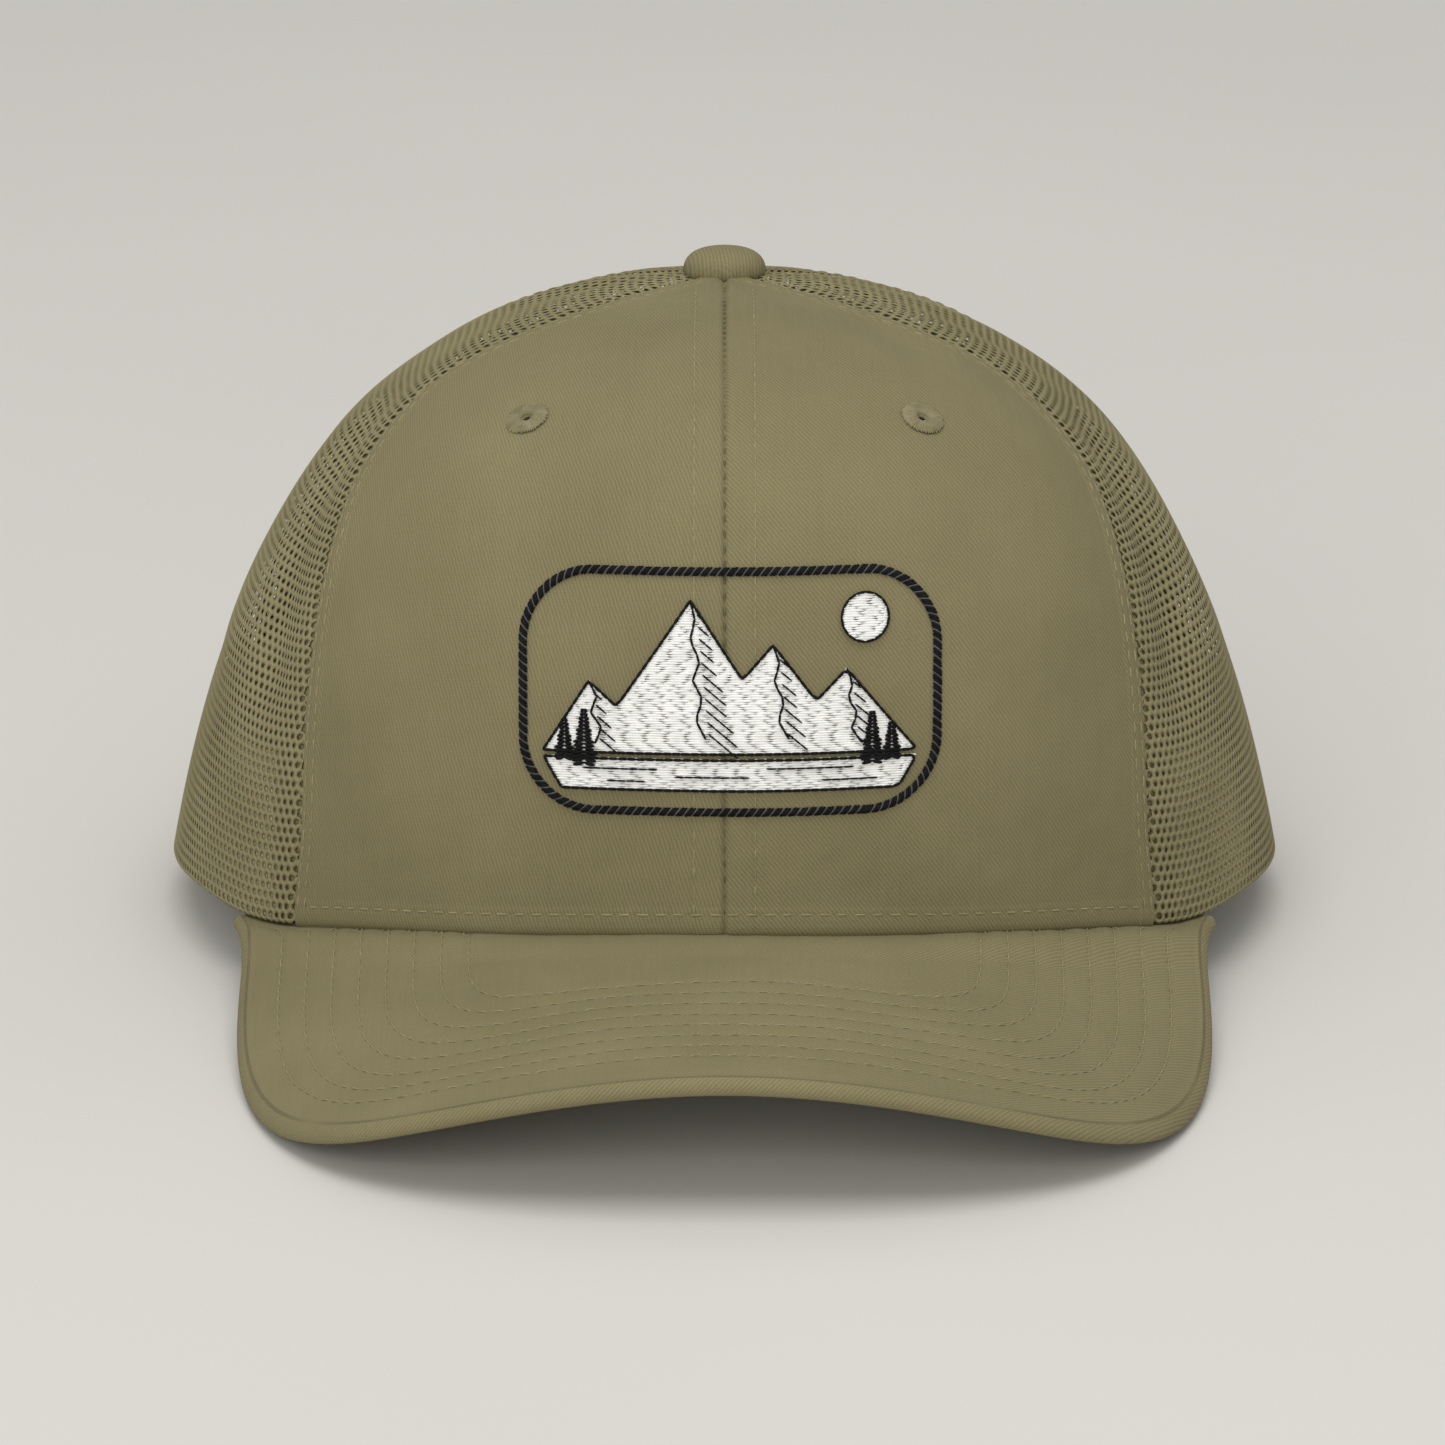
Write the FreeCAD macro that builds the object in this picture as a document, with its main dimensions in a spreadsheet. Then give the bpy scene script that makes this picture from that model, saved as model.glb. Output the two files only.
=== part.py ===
"""Trucker mesh cap: twill front, mesh sides and back, curved visor, snap closure.

Cap frame while building: the hem plane is z = 0, +Y is the back of the cap, the visor points to -Y,
and the crown axis is the Z axis.  "Left" is the -X side and "right" the +X side.  Every sub-part then
gets the same Placement, which lets the cap stand on the visor's two front corners and its back hem,
with the origin at the bottom centre of its bounding box.
"""
import FreeCAD, Part
import math
import os

from FreeCAD import Placement, Rotation, Vector

DIMENSIONS = (
    # crown
    ("crown_half_width", 97.5),
    ("crown_front_reach", 95.0),
    ("crown_back_reach", 93.0),
    ("crown_height", 101.3),
    ("hem_front_rise", 6.9),
    ("hem_rise_angle", 44.0),
    ("temple_dip", 1.9),
    ("temple_angle", 54.0),
    ("temple_spread", 11.0),
    ("top_hole_radius", 3.2),
    # cloth layers, measured inwards from the outside of the crown
    ("cloth_thickness", 0.8),
    ("layer_gap", 0.05),
    ("buckram_thickness", 0.85),
    ("tape_thickness", 0.6),
    ("tape_width", 12.0),
    ("band_depth", 2.7),
    ("band_backing", 0.9),
    ("band_facing", 0.75),
    ("band_height", 30.0),
    # visor
    ("visor_half_width", 81.0),
    ("visor_length", 65.9),
    ("visor_widest", -26.0),
    ("visor_end_angle", 57.5),
    ("visor_slope", 5.96),
    ("visor_drop", 0.4),
    ("root_clearance", 0.2),
    ("visor_cover", 0.65),
    ("visor_board", 1.8),
    # back opening and its binding
    ("arch_half_width", 38.0),
    ("arch_height", 50.0),
    ("binding_width", 7.0),
    ("binding_lip", 1.2),
    ("binding_cloth", 0.6),
    # snap straps
    ("strap_root_angle", 20.8),
    ("strap_pitch", 8.0),
    ("strap_first", 6.0),
    ("strap_end", 4.6),
    ("strap_low", 2.5),
    ("strap_width", 14.0),
    ("strap_plate", 1.0),
    ("strap_depth", 1.6),
    ("strap_step", 1.3),
    ("stud_neck_radius", 1.6),
    ("stud_head_radius", 2.1),
    ("strap_hole_radius", 2.6),
    ("tab_length", 12.0),
    ("root_gap", 0.7),
    # button
    ("button_radius", 7.1),
    ("button_rise", 4.3),
    ("button_cloth", 0.6),
    ("button_metal", 0.5),
    ("post_radius", 1.0),
    ("clinch_radius", 6.0),
    ("clinch_thickness", 1.0),
    # eyelets and embroidery
    ("eyelet_radius", 4.0),
    ("eyelet_hole", 1.3),
    ("eyelet_rise", 0.7),
    ("border_width", 69.3),
    ("border_low", 26.7),
    ("border_high", 66.7),
    ("border_corner", 12.5),
    ("border_stroke", 1.4),
    ("emblem_shift", 0.9),
    ("thread_rise", 0.75),
    # how the cap stands
    ("stance_tilt", 5.445),
    ("stance_shift", 34.626),
    ("stance_lift", 7.949),
)

STRAP_STEPS = 7
VISOR_ROUND = 0.86      # share of each half of the visor outline that is round
VISOR_CORNER = 2.861    # exponent of the rounded-square visor outline
CROSS_ARCH = 0.00362    # 1/radius of the visor's arch across its root, 1/mm
ARCH_GROWTH = 5.94e-5    # how fast the arch tightens towards the front edge, 1/mm2
CORNER_DROP = 1.7e-7     # extra droop of the visor's sides, 1/mm3
EYELET_PLACE = (27.4, 0.573)    # azimuth in degrees, way up the meridian
LABEL_SPAN = (196.0, 211.0)     # azimuths of the label inside the sweatband

doc = FreeCAD.newDocument("trucker_cap")
sheet = doc.addObject("Spreadsheet::Sheet", "dims")
for row, (alias, value) in enumerate(DIMENSIONS, start=1):
    sheet.set("A%d" % row, alias)
    sheet.set("B%d" % row, str(value))
    sheet.setAlias("B%d" % row, alias)
doc.recompute()
size = {alias: float(getattr(sheet, alias)) for alias, _ in DIMENSIONS}

stance = Placement(Vector(0, size["stance_shift"], size["stance_lift"]),
                   Rotation(Vector(1, 0, 0), -size["stance_tilt"]))
subparts = []


# ---------------------------------------------------------------- the crown's surface

# A meridian is one cubic curve from the hem to the button.  Its four numbers are the radius at the hem,
# the radius and the height of the second control point, and the radius of the third.
SIDE_MERIDIAN = (0.989, 0.85, 0.758, 0.501)
FRONT_MERIDIAN = (1.0, 1.01, 0.781, 0.809)
BACK_MERIDIAN = (0.98, 1.02, 0.368, 0.778)
FRONT_SQUARENESS = 0.08     # how much the front corners of the crown stand out of an ellipse


def smooth(value):
    value = max(0.0, min(1.0, value))
    return value * value * (3 - 2 * value)


def cubic(a, b, c, d, way):
    rest = 1 - way
    return a * rest ** 3 + 3 * b * way * rest ** 2 + 3 * c * way ** 2 * rest + d * way ** 3


def hem_height(azimuth):
    """Height of the hem: raised over the visor, lowest at the temples, zero at the sides and back."""
    turn = abs((azimuth + 180) % 360 - 180)
    return (size["hem_front_rise"] * math.exp(-(turn / size["hem_rise_angle"]) ** 2)
            - size["temple_dip"] * math.exp(-((turn - size["temple_angle"]) / size["temple_spread"]) ** 2))


def meridian(azimuth, way):
    """Radius factor and height factor of the meridian at an azimuth in degrees."""
    across = math.cos(math.radians(azimuth))
    end = FRONT_MERIDIAN if across > 0 else BACK_MERIDIAN
    mixed = [side + (other - side) * across ** 2 for side, other in zip(SIDE_MERIDIAN, end)]
    radius = cubic(mixed[0], mixed[1], mixed[3], 0, way)
    if across > 0:
        corner = math.sin(math.radians(2 * azimuth)) ** 2
        radius *= 1 + FRONT_SQUARENESS * 4 * way * (1 - way) * corner
    return radius, cubic(0, mixed[2], 1, 1, way)


def skin_point(azimuth, way):
    radius, height = meridian(azimuth, way)
    turn = math.radians(azimuth)
    reach = size["crown_front_reach"] if math.cos(turn) > 0 else size["crown_back_reach"]
    base = hem_height(azimuth)
    return Vector(size["crown_half_width"] * math.sin(turn) * radius,
                  -reach * math.cos(turn) * radius,
                  base + (size["crown_height"] - base) * height)


def skin_normal(azimuth, way):
    """Outward normal of the crown."""
    step = 0.002
    along = skin_point(azimuth, way + step) - skin_point(azimuth, way - step)
    around = skin_point(azimuth + 0.2, way) - skin_point(azimuth - 0.2, way)
    return around.cross(along).normalize()


def crown_point(azimuth, way, depth):
    """Point of the crown, depth millimetres inside its outer surface."""
    return skin_point(azimuth, way) - skin_normal(azimuth, way) * depth


def way_at_height(azimuth, height):
    """Way up the meridian at which the crown is a given height above the hem."""
    low, high = -0.05, 1.0
    span = size["crown_height"] - hem_height(azimuth)
    for _ in range(40):
        middle = (low + high) / 2
        if meridian(azimuth, middle)[1] * span < height:
            low = middle
        else:
            high = middle
    return low


def way_at_radius(azimuth, radius):
    """Way up the meridian at which the crown is a given distance from its axis."""
    low, high = 0.5, 1.0
    for _ in range(40):
        middle = (low + high) / 2
        point = skin_point(azimuth, middle)
        if math.hypot(point.x, point.y) > radius:
            low = middle
        else:
            high = middle
    return low


def band_point(azimuth, height, depth):
    return crown_point(azimuth, way_at_height(azimuth, height), depth)


# ---------------------------------------------------------------- the six panels' seams

def front_seam(way):
    """Azimuth of the seam between a front panel and a side panel."""
    swell = 8.2 * math.exp(-((way - 0.585) / 0.24) ** 2) - 5.5 * smooth((way - 0.6) / 0.3)
    return 47.0 + swell + 1.5 * math.exp(-(max(way, 0.0) / 0.055) ** 2)


def rear_seam(way):
    """Azimuth of the seam between a side panel and a back panel."""
    return 117.0 + 3 * way


def centre_seam(way):
    return 0.0


def back_seam(way):
    return 180.0


# ---------------------------------------------------------------- solids from smooth skins

def skin_through(place, across, along):
    rows = [[place(i / across, j / along) for j in range(along + 1)] for i in range(across + 1)]
    surface = Part.BSplineSurface()
    surface.interpolate(rows)
    return surface


def thick_patch(outer, inner, across=10, along=12):
    """Closed solid between two four-sided skins, each given as a function of (u, v) from 0 to 1."""
    skins = [skin_through(place, across, along) for place in (outer, inner)]
    faces = [skin.toShape() for skin in skins]
    u0, u1, v0, v1 = skins[0].bounds()
    w0, w1, z0, z1 = skins[1].bounds()
    rims = [(skins[0].uIso(u0), skins[1].uIso(w0)), (skins[0].uIso(u1), skins[1].uIso(w1)),
            (skins[0].vIso(v0), skins[1].vIso(z0)), (skins[0].vIso(v1), skins[1].vIso(z1))]
    faces += [Part.makeRuledSurface(one.toShape(), other.toShape()) for one, other in rims]
    shell = Part.makeShell(faces)
    shell.sewShape()
    solid = Part.makeSolid(shell if shell.ShapeType == "Shell" else shell.Shells[0])
    if solid.Volume < 0:
        solid.reverse()
    return solid


def crown_patch(edge_a, edge_b, depth_a, depth_b, inset=0.0, low=0.0, top_radius=None, along=14, across=10):
    """Piece of the crown between two seams, between two depths, inset from both seams."""
    limit = top_radius or size["top_hole_radius"]

    def place(depth):
        def at(u, v):
            start, stop = edge_a(0.9 * v), edge_b(0.9 * v)
            top = way_at_radius((start + stop) / 2, limit)
            way = low + (top - low) * v
            start, stop = edge_a(way), edge_b(way)
            point = skin_point((start + stop) / 2, way)
            turn = math.degrees(inset / max(math.hypot(point.x, point.y), 1.0))
            turn = min(turn, 0.3 * abs(stop - start))
            sign = 1 if stop > start else -1
            return crown_point(start + sign * turn + (stop - start - 2 * sign * turn) * u, way, depth)
        return at
    return thick_patch(place(depth_a), place(depth_b), across, along)


def tape_patch(seam, side, low_height, end_radius=13.0):
    """Seam tape: a strip of constant width under a seam, from a height above the hem to the button."""
    half = size["tape_width"] / 2
    outer = size["cloth_thickness"] + size["buckram_thickness"] + 3 * size["layer_gap"]

    def place(depth):
        def at(u, v):
            low = way_at_height(side * seam(0), low_height)
            top = way_at_radius(side * seam(1), end_radius)
            way = low + (top - low) * v
            middle = side * seam(way)
            point = skin_point(middle, way)
            turn = math.degrees(half / math.hypot(point.x, point.y))
            return crown_point(middle + turn * (2 * u - 1), way, depth)
        return at
    return thick_patch(place(outer), place(outer + size["tape_thickness"]), 4, 14)


# ---------------------------------------------------------------- document helpers

def register(item, label):
    item.Label = label
    subparts.append(item)
    return item


def add_shape(label, shape):
    """Sub-part whose shape is computed, placed after its shape is set."""
    item = doc.addObject("Part::Feature", label)
    item.Shape = shape
    item.Placement = stance
    return register(item, label)


def primitive(kind, name, bindings, placement=None):
    item = doc.addObject(kind, name)
    for prop, expression in bindings.items():
        item.setExpression(prop, expression)
    if placement:
        item.Placement = placement
    return item


def boolean(kind, name, base, tool):
    item = doc.addObject(kind, name)
    item.Base = base
    item.Tool = tool
    return item


def helper_shape(name, shape):
    item = doc.addObject("Part::Feature", name)
    item.Shape = shape
    return item


# ---------------------------------------------------------------- front view outlines, cut along Y

def prism_from_front(wire, y_from, y_to):
    """Solid swept along Y from a closed wire drawn in the XZ plane at y = 0."""
    face = Part.Face(wire)
    face.translate(Vector(0, y_from, 0))
    return face.extrude(Vector(0, y_to - y_from, 0))


def rounded_rectangle(half_width, low, high, corner):
    """Closed wire in the XZ plane."""
    half_height = (high - low) / 2
    middle = (high + low) / 2
    edges = []
    corners = ((1, 1), (-1, 1), (-1, -1), (1, -1))
    spots = []
    for sx, sz in corners:
        across = size["emblem_shift"] + sx * (half_width - corner)
        centre = Vector(across, 0, middle + sz * (half_height - corner))
        first, last = Vector(sx * corner, 0, 0), Vector(0, 0, sz * corner)
        if sx * sz < 0:
            first, last = last, first
        bend = (first + last).normalize() * corner
        edges.append(Part.Arc(centre + first, centre + bend, centre + last).toShape())
        spots.append((centre + first, centre + last))
    for (_, end), (start, _) in zip(spots, spots[1:] + spots[:1]):
        edges.append(Part.makeLine(end, start))
    return Part.Wire(Part.__sortEdges__(edges))


def half_ellipse(half_width, height, skirt):
    """Closed arch in the XZ plane: a half ellipse on straight legs that go skirt below the hem."""
    points = []
    for step in range(25):
        turn = math.pi * step / 24
        points.append(Vector(half_width * math.cos(turn), 0, height * math.sin(turn)))
    curve = Part.BSplineCurve()
    curve.interpolate(points)
    left, right = Vector(-half_width, 0, -skirt), Vector(half_width, 0, -skirt)
    edges = [curve.toShape(), Part.makeLine(points[-1], left), Part.makeLine(left, right),
             Part.makeLine(right, points[0])]
    return Part.Wire(edges)


# ---------------------------------------------------------------- crown panels

def make_crown():
    cloth = size["cloth_thickness"]
    gap = size["layer_gap"]
    half_seam = 0.15
    stiff = cloth + gap
    eyelets = [eyelet_frame(side) for side in (-1, 1)]

    for side, word in ((-1, "left"), (1, "right")):
        def front_edge(way, side=side):
            return side * front_seam(way)

        def rear_edge(way, side=side):
            return side * rear_seam(way)

        def back_edge(way, side=side):
            return side * 180.0

        pierce = Part.makeCylinder(2.1, 8, *eyelet_axis(eyelets[0 if side < 0 else 1]))
        front = crown_patch(centre_seam, front_edge, 0, cloth, inset=half_seam).cut(pierce)
        add_shape("front_panel_" + word, front)
        stiffener = crown_patch(centre_seam, front_edge, stiff, stiff + size["buckram_thickness"],
                                inset=1.0, top_radius=14.0).cut(pierce)
        add_shape("front_buckram_" + word, stiffener)
        add_shape("side_mesh_panel_" + word,
                  crown_patch(front_edge, rear_edge, 0, cloth, inset=half_seam))

        panel = helper_shape("back_blank_" + word,
                             crown_patch(rear_edge, back_edge, 0, cloth, inset=half_seam))
        opening = helper_shape("arch_blank_" + word,
                               prism_from_front(half_ellipse(size["arch_half_width"],
                                                             size["arch_height"], 5), 20, 130))
        back = boolean("Part::Cut", "back_mesh_" + word, panel, opening)
        back.Placement = stance
        register(back, "back_mesh_panel_" + word)

    low_back = size["arch_height"] + 4.0
    add_shape("seam_tape_front_centre", tape_patch(centre_seam, 1, 0.4))
    add_shape("seam_tape_back_centre", tape_patch(back_seam, 1, low_back))
    for side, word in ((-1, "left"), (1, "right")):
        add_shape("seam_tape_front_" + word, tape_patch(front_seam, side, 0.4, 19.0))
        add_shape("seam_tape_rear_" + word, tape_patch(rear_seam, side, 0.4))


def eyelet_frame(side):
    """Centre on the crown's surface and outward normal of one eyelet."""
    azimuth, way = EYELET_PLACE
    return skin_point(side * azimuth, way), skin_normal(side * azimuth, way)


def eyelet_axis(frame):
    """Start and direction of a cylinder that goes right through the crown at an eyelet."""
    centre, normal = frame
    return centre - normal * 4, normal


def make_eyelets():
    """Thread ring of each ventilation eyelet: a flange on the cloth and a barrel through it."""
    for side, word in ((-1, "left"), (1, "right")):
        centre, normal = eyelet_frame(side)
        seat = centre + normal * 0.15
        flange = Part.makeCylinder(size["eyelet_radius"], size["eyelet_rise"], seat, normal)
        barrel = Part.makeCylinder(1.9, 2.0, seat - normal * 1.8, normal)
        bore = Part.makeCylinder(size["eyelet_hole"], 8, centre - normal * 4, normal)
        add_shape("eyelet_" + word, flange.fuse(barrel).cut(bore).removeSplitter())


# ---------------------------------------------------------------- embroidery on the front

def front_shell(outer_rise, inner_rise):
    """Thin layer lying on the outside of both front panels."""
    def place(rise):
        def at(u, v):
            return crown_point(-45 + 90 * u, 0.03 + 0.55 * v, -rise)
        return at
    return thick_patch(place(outer_rise), place(inner_rise), 16, 12)


def motif_wires():
    """Closed outlines of the stitched landscape: a ridge of peaks and the ground in front of it."""
    ridge = [(-30.5, 37), (-23, 48.5), (-18.5, 44.5), (-6.5, 61.5), (2, 49), (7, 54.5),
             (14, 45.5), (19, 50.5), (30.5, 37)]
    ground = [(-27.5, 31), (-30.5, 36), (30.5, 36), (27.5, 31)]
    wires = []
    for outline in (ridge, ground):
        corners = [Vector(x + size["emblem_shift"], 0, z) for x, z in outline]
        wires.append(Part.makePolygon(corners + corners[:1]))
    return wires


def make_embroidery():
    rise = size["thread_rise"]
    half_width = size["border_width"] / 2
    stroke = size["border_stroke"]
    low, high, corner = size["border_low"], size["border_high"], size["border_corner"]
    layer = front_shell(rise + 0.1, 0.1)
    outside = prism_from_front(rounded_rectangle(half_width, low, high, corner), -110, -40)
    inside = prism_from_front(rounded_rectangle(half_width - stroke, low + stroke, high - stroke,
                                                corner - stroke), -110, -40)
    add_shape("embroidery_border", layer.common(outside.cut(inside)))
    fill = front_shell(rise * 0.8, 0.1)
    pieces = [fill.common(prism_from_front(wire, -110, -40)) for wire in motif_wires()]
    for word, piece in zip(("peaks", "ground"), pieces):
        add_shape("embroidery_" + word, piece)


# ---------------------------------------------------------------- sweatband, label and back binding

def band_patch(azimuth_a, azimuth_b, low, high, depth_a, depth_b, across, along=5):
    """Strip that follows the inside of the crown between two azimuths and two heights."""
    def place(depth):
        def at(u, v):
            azimuth = azimuth_a + (azimuth_b - azimuth_a) * u
            return band_point(azimuth, low + (high - low) * v, depth)
        return at
    return thick_patch(place(depth_a), place(depth_b), across, along)


def make_sweatband():
    end = 180 - math.degrees(math.asin((size["arch_half_width"] + 1) / size["crown_half_width"]))
    facing = size["band_depth"] + size["band_backing"] + size["layer_gap"]
    add_shape("sweatband_backing",
              band_patch(-end, end, 0.3, size["band_height"] - 1.5, size["band_depth"],
                         size["band_depth"] + size["band_backing"], 48))
    add_shape("sweatband_facing",
              band_patch(-end, end, 0.3, size["band_height"], facing, facing + size["band_facing"], 48))
    label_depth = facing + size["band_facing"] + size["layer_gap"]
    add_shape("blank_label", band_patch(LABEL_SPAN[0] - 60, LABEL_SPAN[1] - 60, 6, 24,
                                        label_depth, label_depth + 0.4, 6))


def make_binding():
    """Cloth folded over the edge of the back opening: one leg outside, one inside, joined at the lip."""
    gap = size["layer_gap"]
    cloth = size["binding_cloth"]
    fill = size["cloth_thickness"]
    outer = -(gap + cloth)
    inner = fill + gap + cloth
    width, height = size["arch_half_width"], size["arch_height"]

    def wall(depth, spare=0.0):
        def at(u, v):
            azimuth = 145 - spare + (70 + 2 * spare) * u
            return band_point(azimuth, 0.3 - 0.25 * spare + (69.7 + 0.75 * spare) * v, depth)
        return at
    ring = prism_from_front(half_ellipse(width + size["binding_width"],
                                         height + size["binding_width"], 5), 20, 130)
    lip = prism_from_front(half_ellipse(width - size["binding_lip"],
                                        height - size["binding_lip"], 6), 19, 131)
    edge = prism_from_front(half_ellipse(width - gap, height - gap, 7), 18, 132)
    whole = thick_patch(wall(outer), wall(inner), 16, 12).common(ring).cut(lip)
    slot = thick_patch(wall(-gap, 2.0), wall(fill + gap, 2.0), 16, 12).cut(edge)
    add_shape("back_opening_binding", whole.cut(slot))


# ---------------------------------------------------------------- visor

def visor_arch(x, forward):
    """Height of the visor's upper surface away from the crown; forward is measured from the crown."""
    bend = CROSS_ARCH + ARCH_GROWTH * max(forward, -60.0)
    slope = math.tan(math.radians(size["visor_slope"]))
    return (size["hem_front_rise"] - size["visor_drop"] - slope * forward
            - bend * x * x / 2 - CORNER_DROP * x ** 4)


def visor_top(x, forward):
    """Height of the visor's upper surface: its root runs just under the crown's hem."""
    reach = size["crown_front_reach"]
    bearing = math.degrees(math.atan2(x / size["crown_half_width"], (reach + forward) / reach))
    hem = skin_point(bearing, 0)
    outside = math.hypot(x, reach + forward) - math.hypot(hem.x, hem.y)
    inside = 0.5 * math.log(1 + math.exp(-outside / 0.5))
    root = hem.z - skin_normal(bearing, 0).z * inside - size["root_clearance"]
    share = 1 - smooth((outside - 0.6) / 10.0)
    return visor_arch(x, forward) * (1 - share) + root * share


def visor_outline(u, inset):
    """Plan point (x, forward) of the visor's edge, u from -1 at the left end to 1 at the right."""
    width = size["visor_half_width"] - inset
    widest = size["visor_widest"]
    length = size["visor_length"] - widest - inset
    part = abs(u)
    side = 1 if u > 0 else -1
    if part <= VISOR_ROUND:
        turn = math.radians(90 * part / VISOR_ROUND)
        reach = ((math.sin(turn) / width) ** VISOR_CORNER
                 + (math.cos(turn) / length) ** VISOR_CORNER) ** (-1 / VISOR_CORNER)
        return side * reach * math.sin(turn), widest + reach * math.cos(turn)
    back = (part - VISOR_ROUND) / (1 - VISOR_ROUND)
    return side * (width + 1.9 * back ** 2), widest + (-43.5 - widest) * back


def spread(u):
    """Share of the way from the left end to the right, closer together towards both ends."""
    side = 2 * u - 1
    return 1.25 * side - 0.25 * side ** 3


def visor_root(u):
    """Plan point of the visor's inner edge, just inside the crown's hem."""
    point = crown_point(u * size["visor_end_angle"], 0.0, 2.0)
    return point.x, -point.y - size["crown_front_reach"]


def visor_layer(below_top, below_bottom, inset):
    """One layer of the visor between two distances below its upper surface."""
    def place(below):
        def at(u, v):
            side = spread(u)
            out = v ** 1.6
            root_x, root_f = visor_root(side)
            edge_x, edge_f = visor_outline(side, inset)
            x = root_x + (edge_x - root_x) * out
            forward = root_f + (edge_f - root_f) * out
            return Vector(x, -size["crown_front_reach"] - forward, visor_top(x, forward) - below)
        return at
    return thick_patch(place(below_top), place(below_bottom), 64, 18)


def make_visor():
    cover = size["visor_cover"]
    board = size["visor_board"]
    gap = size["layer_gap"]
    band = 0.9
    add_shape("visor_top_cover", visor_layer(0, cover, 0))
    add_shape("visor_board", visor_layer(cover + gap, cover + gap + board, band + gap))
    add_shape("visor_under_cover", visor_layer(cover + 2 * gap + board, 2 * cover + 2 * gap + board, 0))

    def wall(inset):
        def at(u, v):
            x, forward = visor_outline(spread(u), inset)
            below = cover + 2 * gap + (board - 2 * gap) * v
            return Vector(x, -size["crown_front_reach"] - forward, visor_top(x, forward) - below)
        return at
    add_shape("visor_edge_band", thick_patch(wall(0), wall(band), 64, 3))


# ---------------------------------------------------------------- button

def make_button():
    """Cloth-covered button: cover, metal shell, post through the crown, clinched disc inside."""
    top = Vector(0, 0, size["crown_height"] + 0.15)
    seat = Placement(top, Rotation())
    turned = {"Angle1": "0", "Angle2": "90", "Angle3": "360"}

    def dome(name, shrink):
        return primitive("Part::Ellipsoid", name, dict(
            turned,
            Radius1="dims.button_rise - " + shrink,
            Radius2="dims.button_radius - " + shrink,
            Radius3="dims.button_radius - " + shrink), seat)
    cover = boolean("Part::Cut", "button_cover_cut", dome("button_outside", "0 * dims.button_cloth"),
                    dome("button_under_cloth", "dims.button_cloth"))
    shell = boolean("Part::Cut", "button_shell_cut",
                    dome("button_metal_outside", "(dims.button_cloth + dims.layer_gap)"),
                    dome("button_metal_inside", "(dims.button_cloth + dims.layer_gap + dims.button_metal)"))
    for item, label in ((cover, "button_cover"), (shell, "button_shell")):
        item.Placement = stance
        register(item, label)

    length = size["button_rise"] - 1.6 + 3.0
    post_seat = stance.multiply(Placement(top - Vector(0, 0, 3.0), Rotation()))
    post = primitive("Part::Cylinder", "button_post", {"Radius": "dims.post_radius"}, post_seat)
    post.Height = length
    register(post, "button_post")

    body = doc.addObject("PartDesign::Body", "clinch_body")
    sketch = body.newObject("Sketcher::SketchObject", "clinch_outline")
    plane = [item for item in body.Origin.OriginFeatures if item.Role == "XY_Plane"][0]
    sketch.AttachmentSupport = [(plane, "")]
    sketch.MapMode = "FlatFace"
    sketch.addGeometry(Part.Circle(Vector(0, 0, 0), Vector(0, 0, 1), size["clinch_radius"]), False)
    import Sketcher
    hub = sketch.addConstraint(Sketcher.Constraint("Coincident", 0, 3, -1, 1))
    rim = sketch.addConstraint(Sketcher.Constraint("Radius", 0, size["clinch_radius"]))
    sketch.renameConstraint(rim, "rim")
    sketch.setExpression("Constraints.rim", "dims.clinch_radius")
    assert hub != rim
    pad = body.newObject("PartDesign::Pad", "clinch_disc")
    pad.Profile = sketch
    pad.setExpression("Length", "dims.clinch_thickness")
    doc.recompute()
    rounding = body.newObject("PartDesign::Fillet", "clinch_rounding")
    rounding.Base = (pad, ["Face3"])
    rounding.Radius = 0.35
    body.Tip = rounding
    drop = 3.2 + size["clinch_thickness"]
    body.Placement = stance.multiply(Placement(top - Vector(0, 0, drop), Rotation()))
    register(body, "button_clinch")


# ---------------------------------------------------------------- snap closure

def strap_azimuth(distance, side):
    """Azimuth of a place along a strap, measured in millimetres from its root."""
    radius = size["crown_half_width"] * BACK_MERIDIAN[0] - 2.0
    return 180 - side * (size["strap_root_angle"] - math.degrees(distance / radius))


def strap_length():
    return size["strap_first"] + (STRAP_STEPS - 1) * size["strap_pitch"] + size["strap_end"]


def strap_plate(side, depth_at):
    """Plastic band from its root to its rounded tip."""
    length = strap_length()
    half = size["strap_width"] / 2
    middle = size["strap_low"] + half

    def place(extra):
        def at(u, v):
            distance = length * u
            tip = max(0.0, (distance - length + half) / half)
            reach = half * math.sqrt(max(1 - 0.8 * tip ** 2, 0.0))
            return band_point(strap_azimuth(distance, side), middle + reach * (2 * v - 1),
                              depth_at(distance) + extra)
        return at
    return thick_patch(place(0), place(size["strap_plate"]), 28, 4)


def strap_spot(side, step, depth):
    """A point on the strap's centre line at one stud or hole, and the outward direction there."""
    middle = size["strap_low"] + size["strap_width"] / 2
    azimuth = strap_azimuth(size["strap_first"] + step * size["strap_pitch"], side)
    point = band_point(azimuth, middle, depth)
    return point, skin_normal(azimuth, way_at_height(azimuth, middle))


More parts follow.
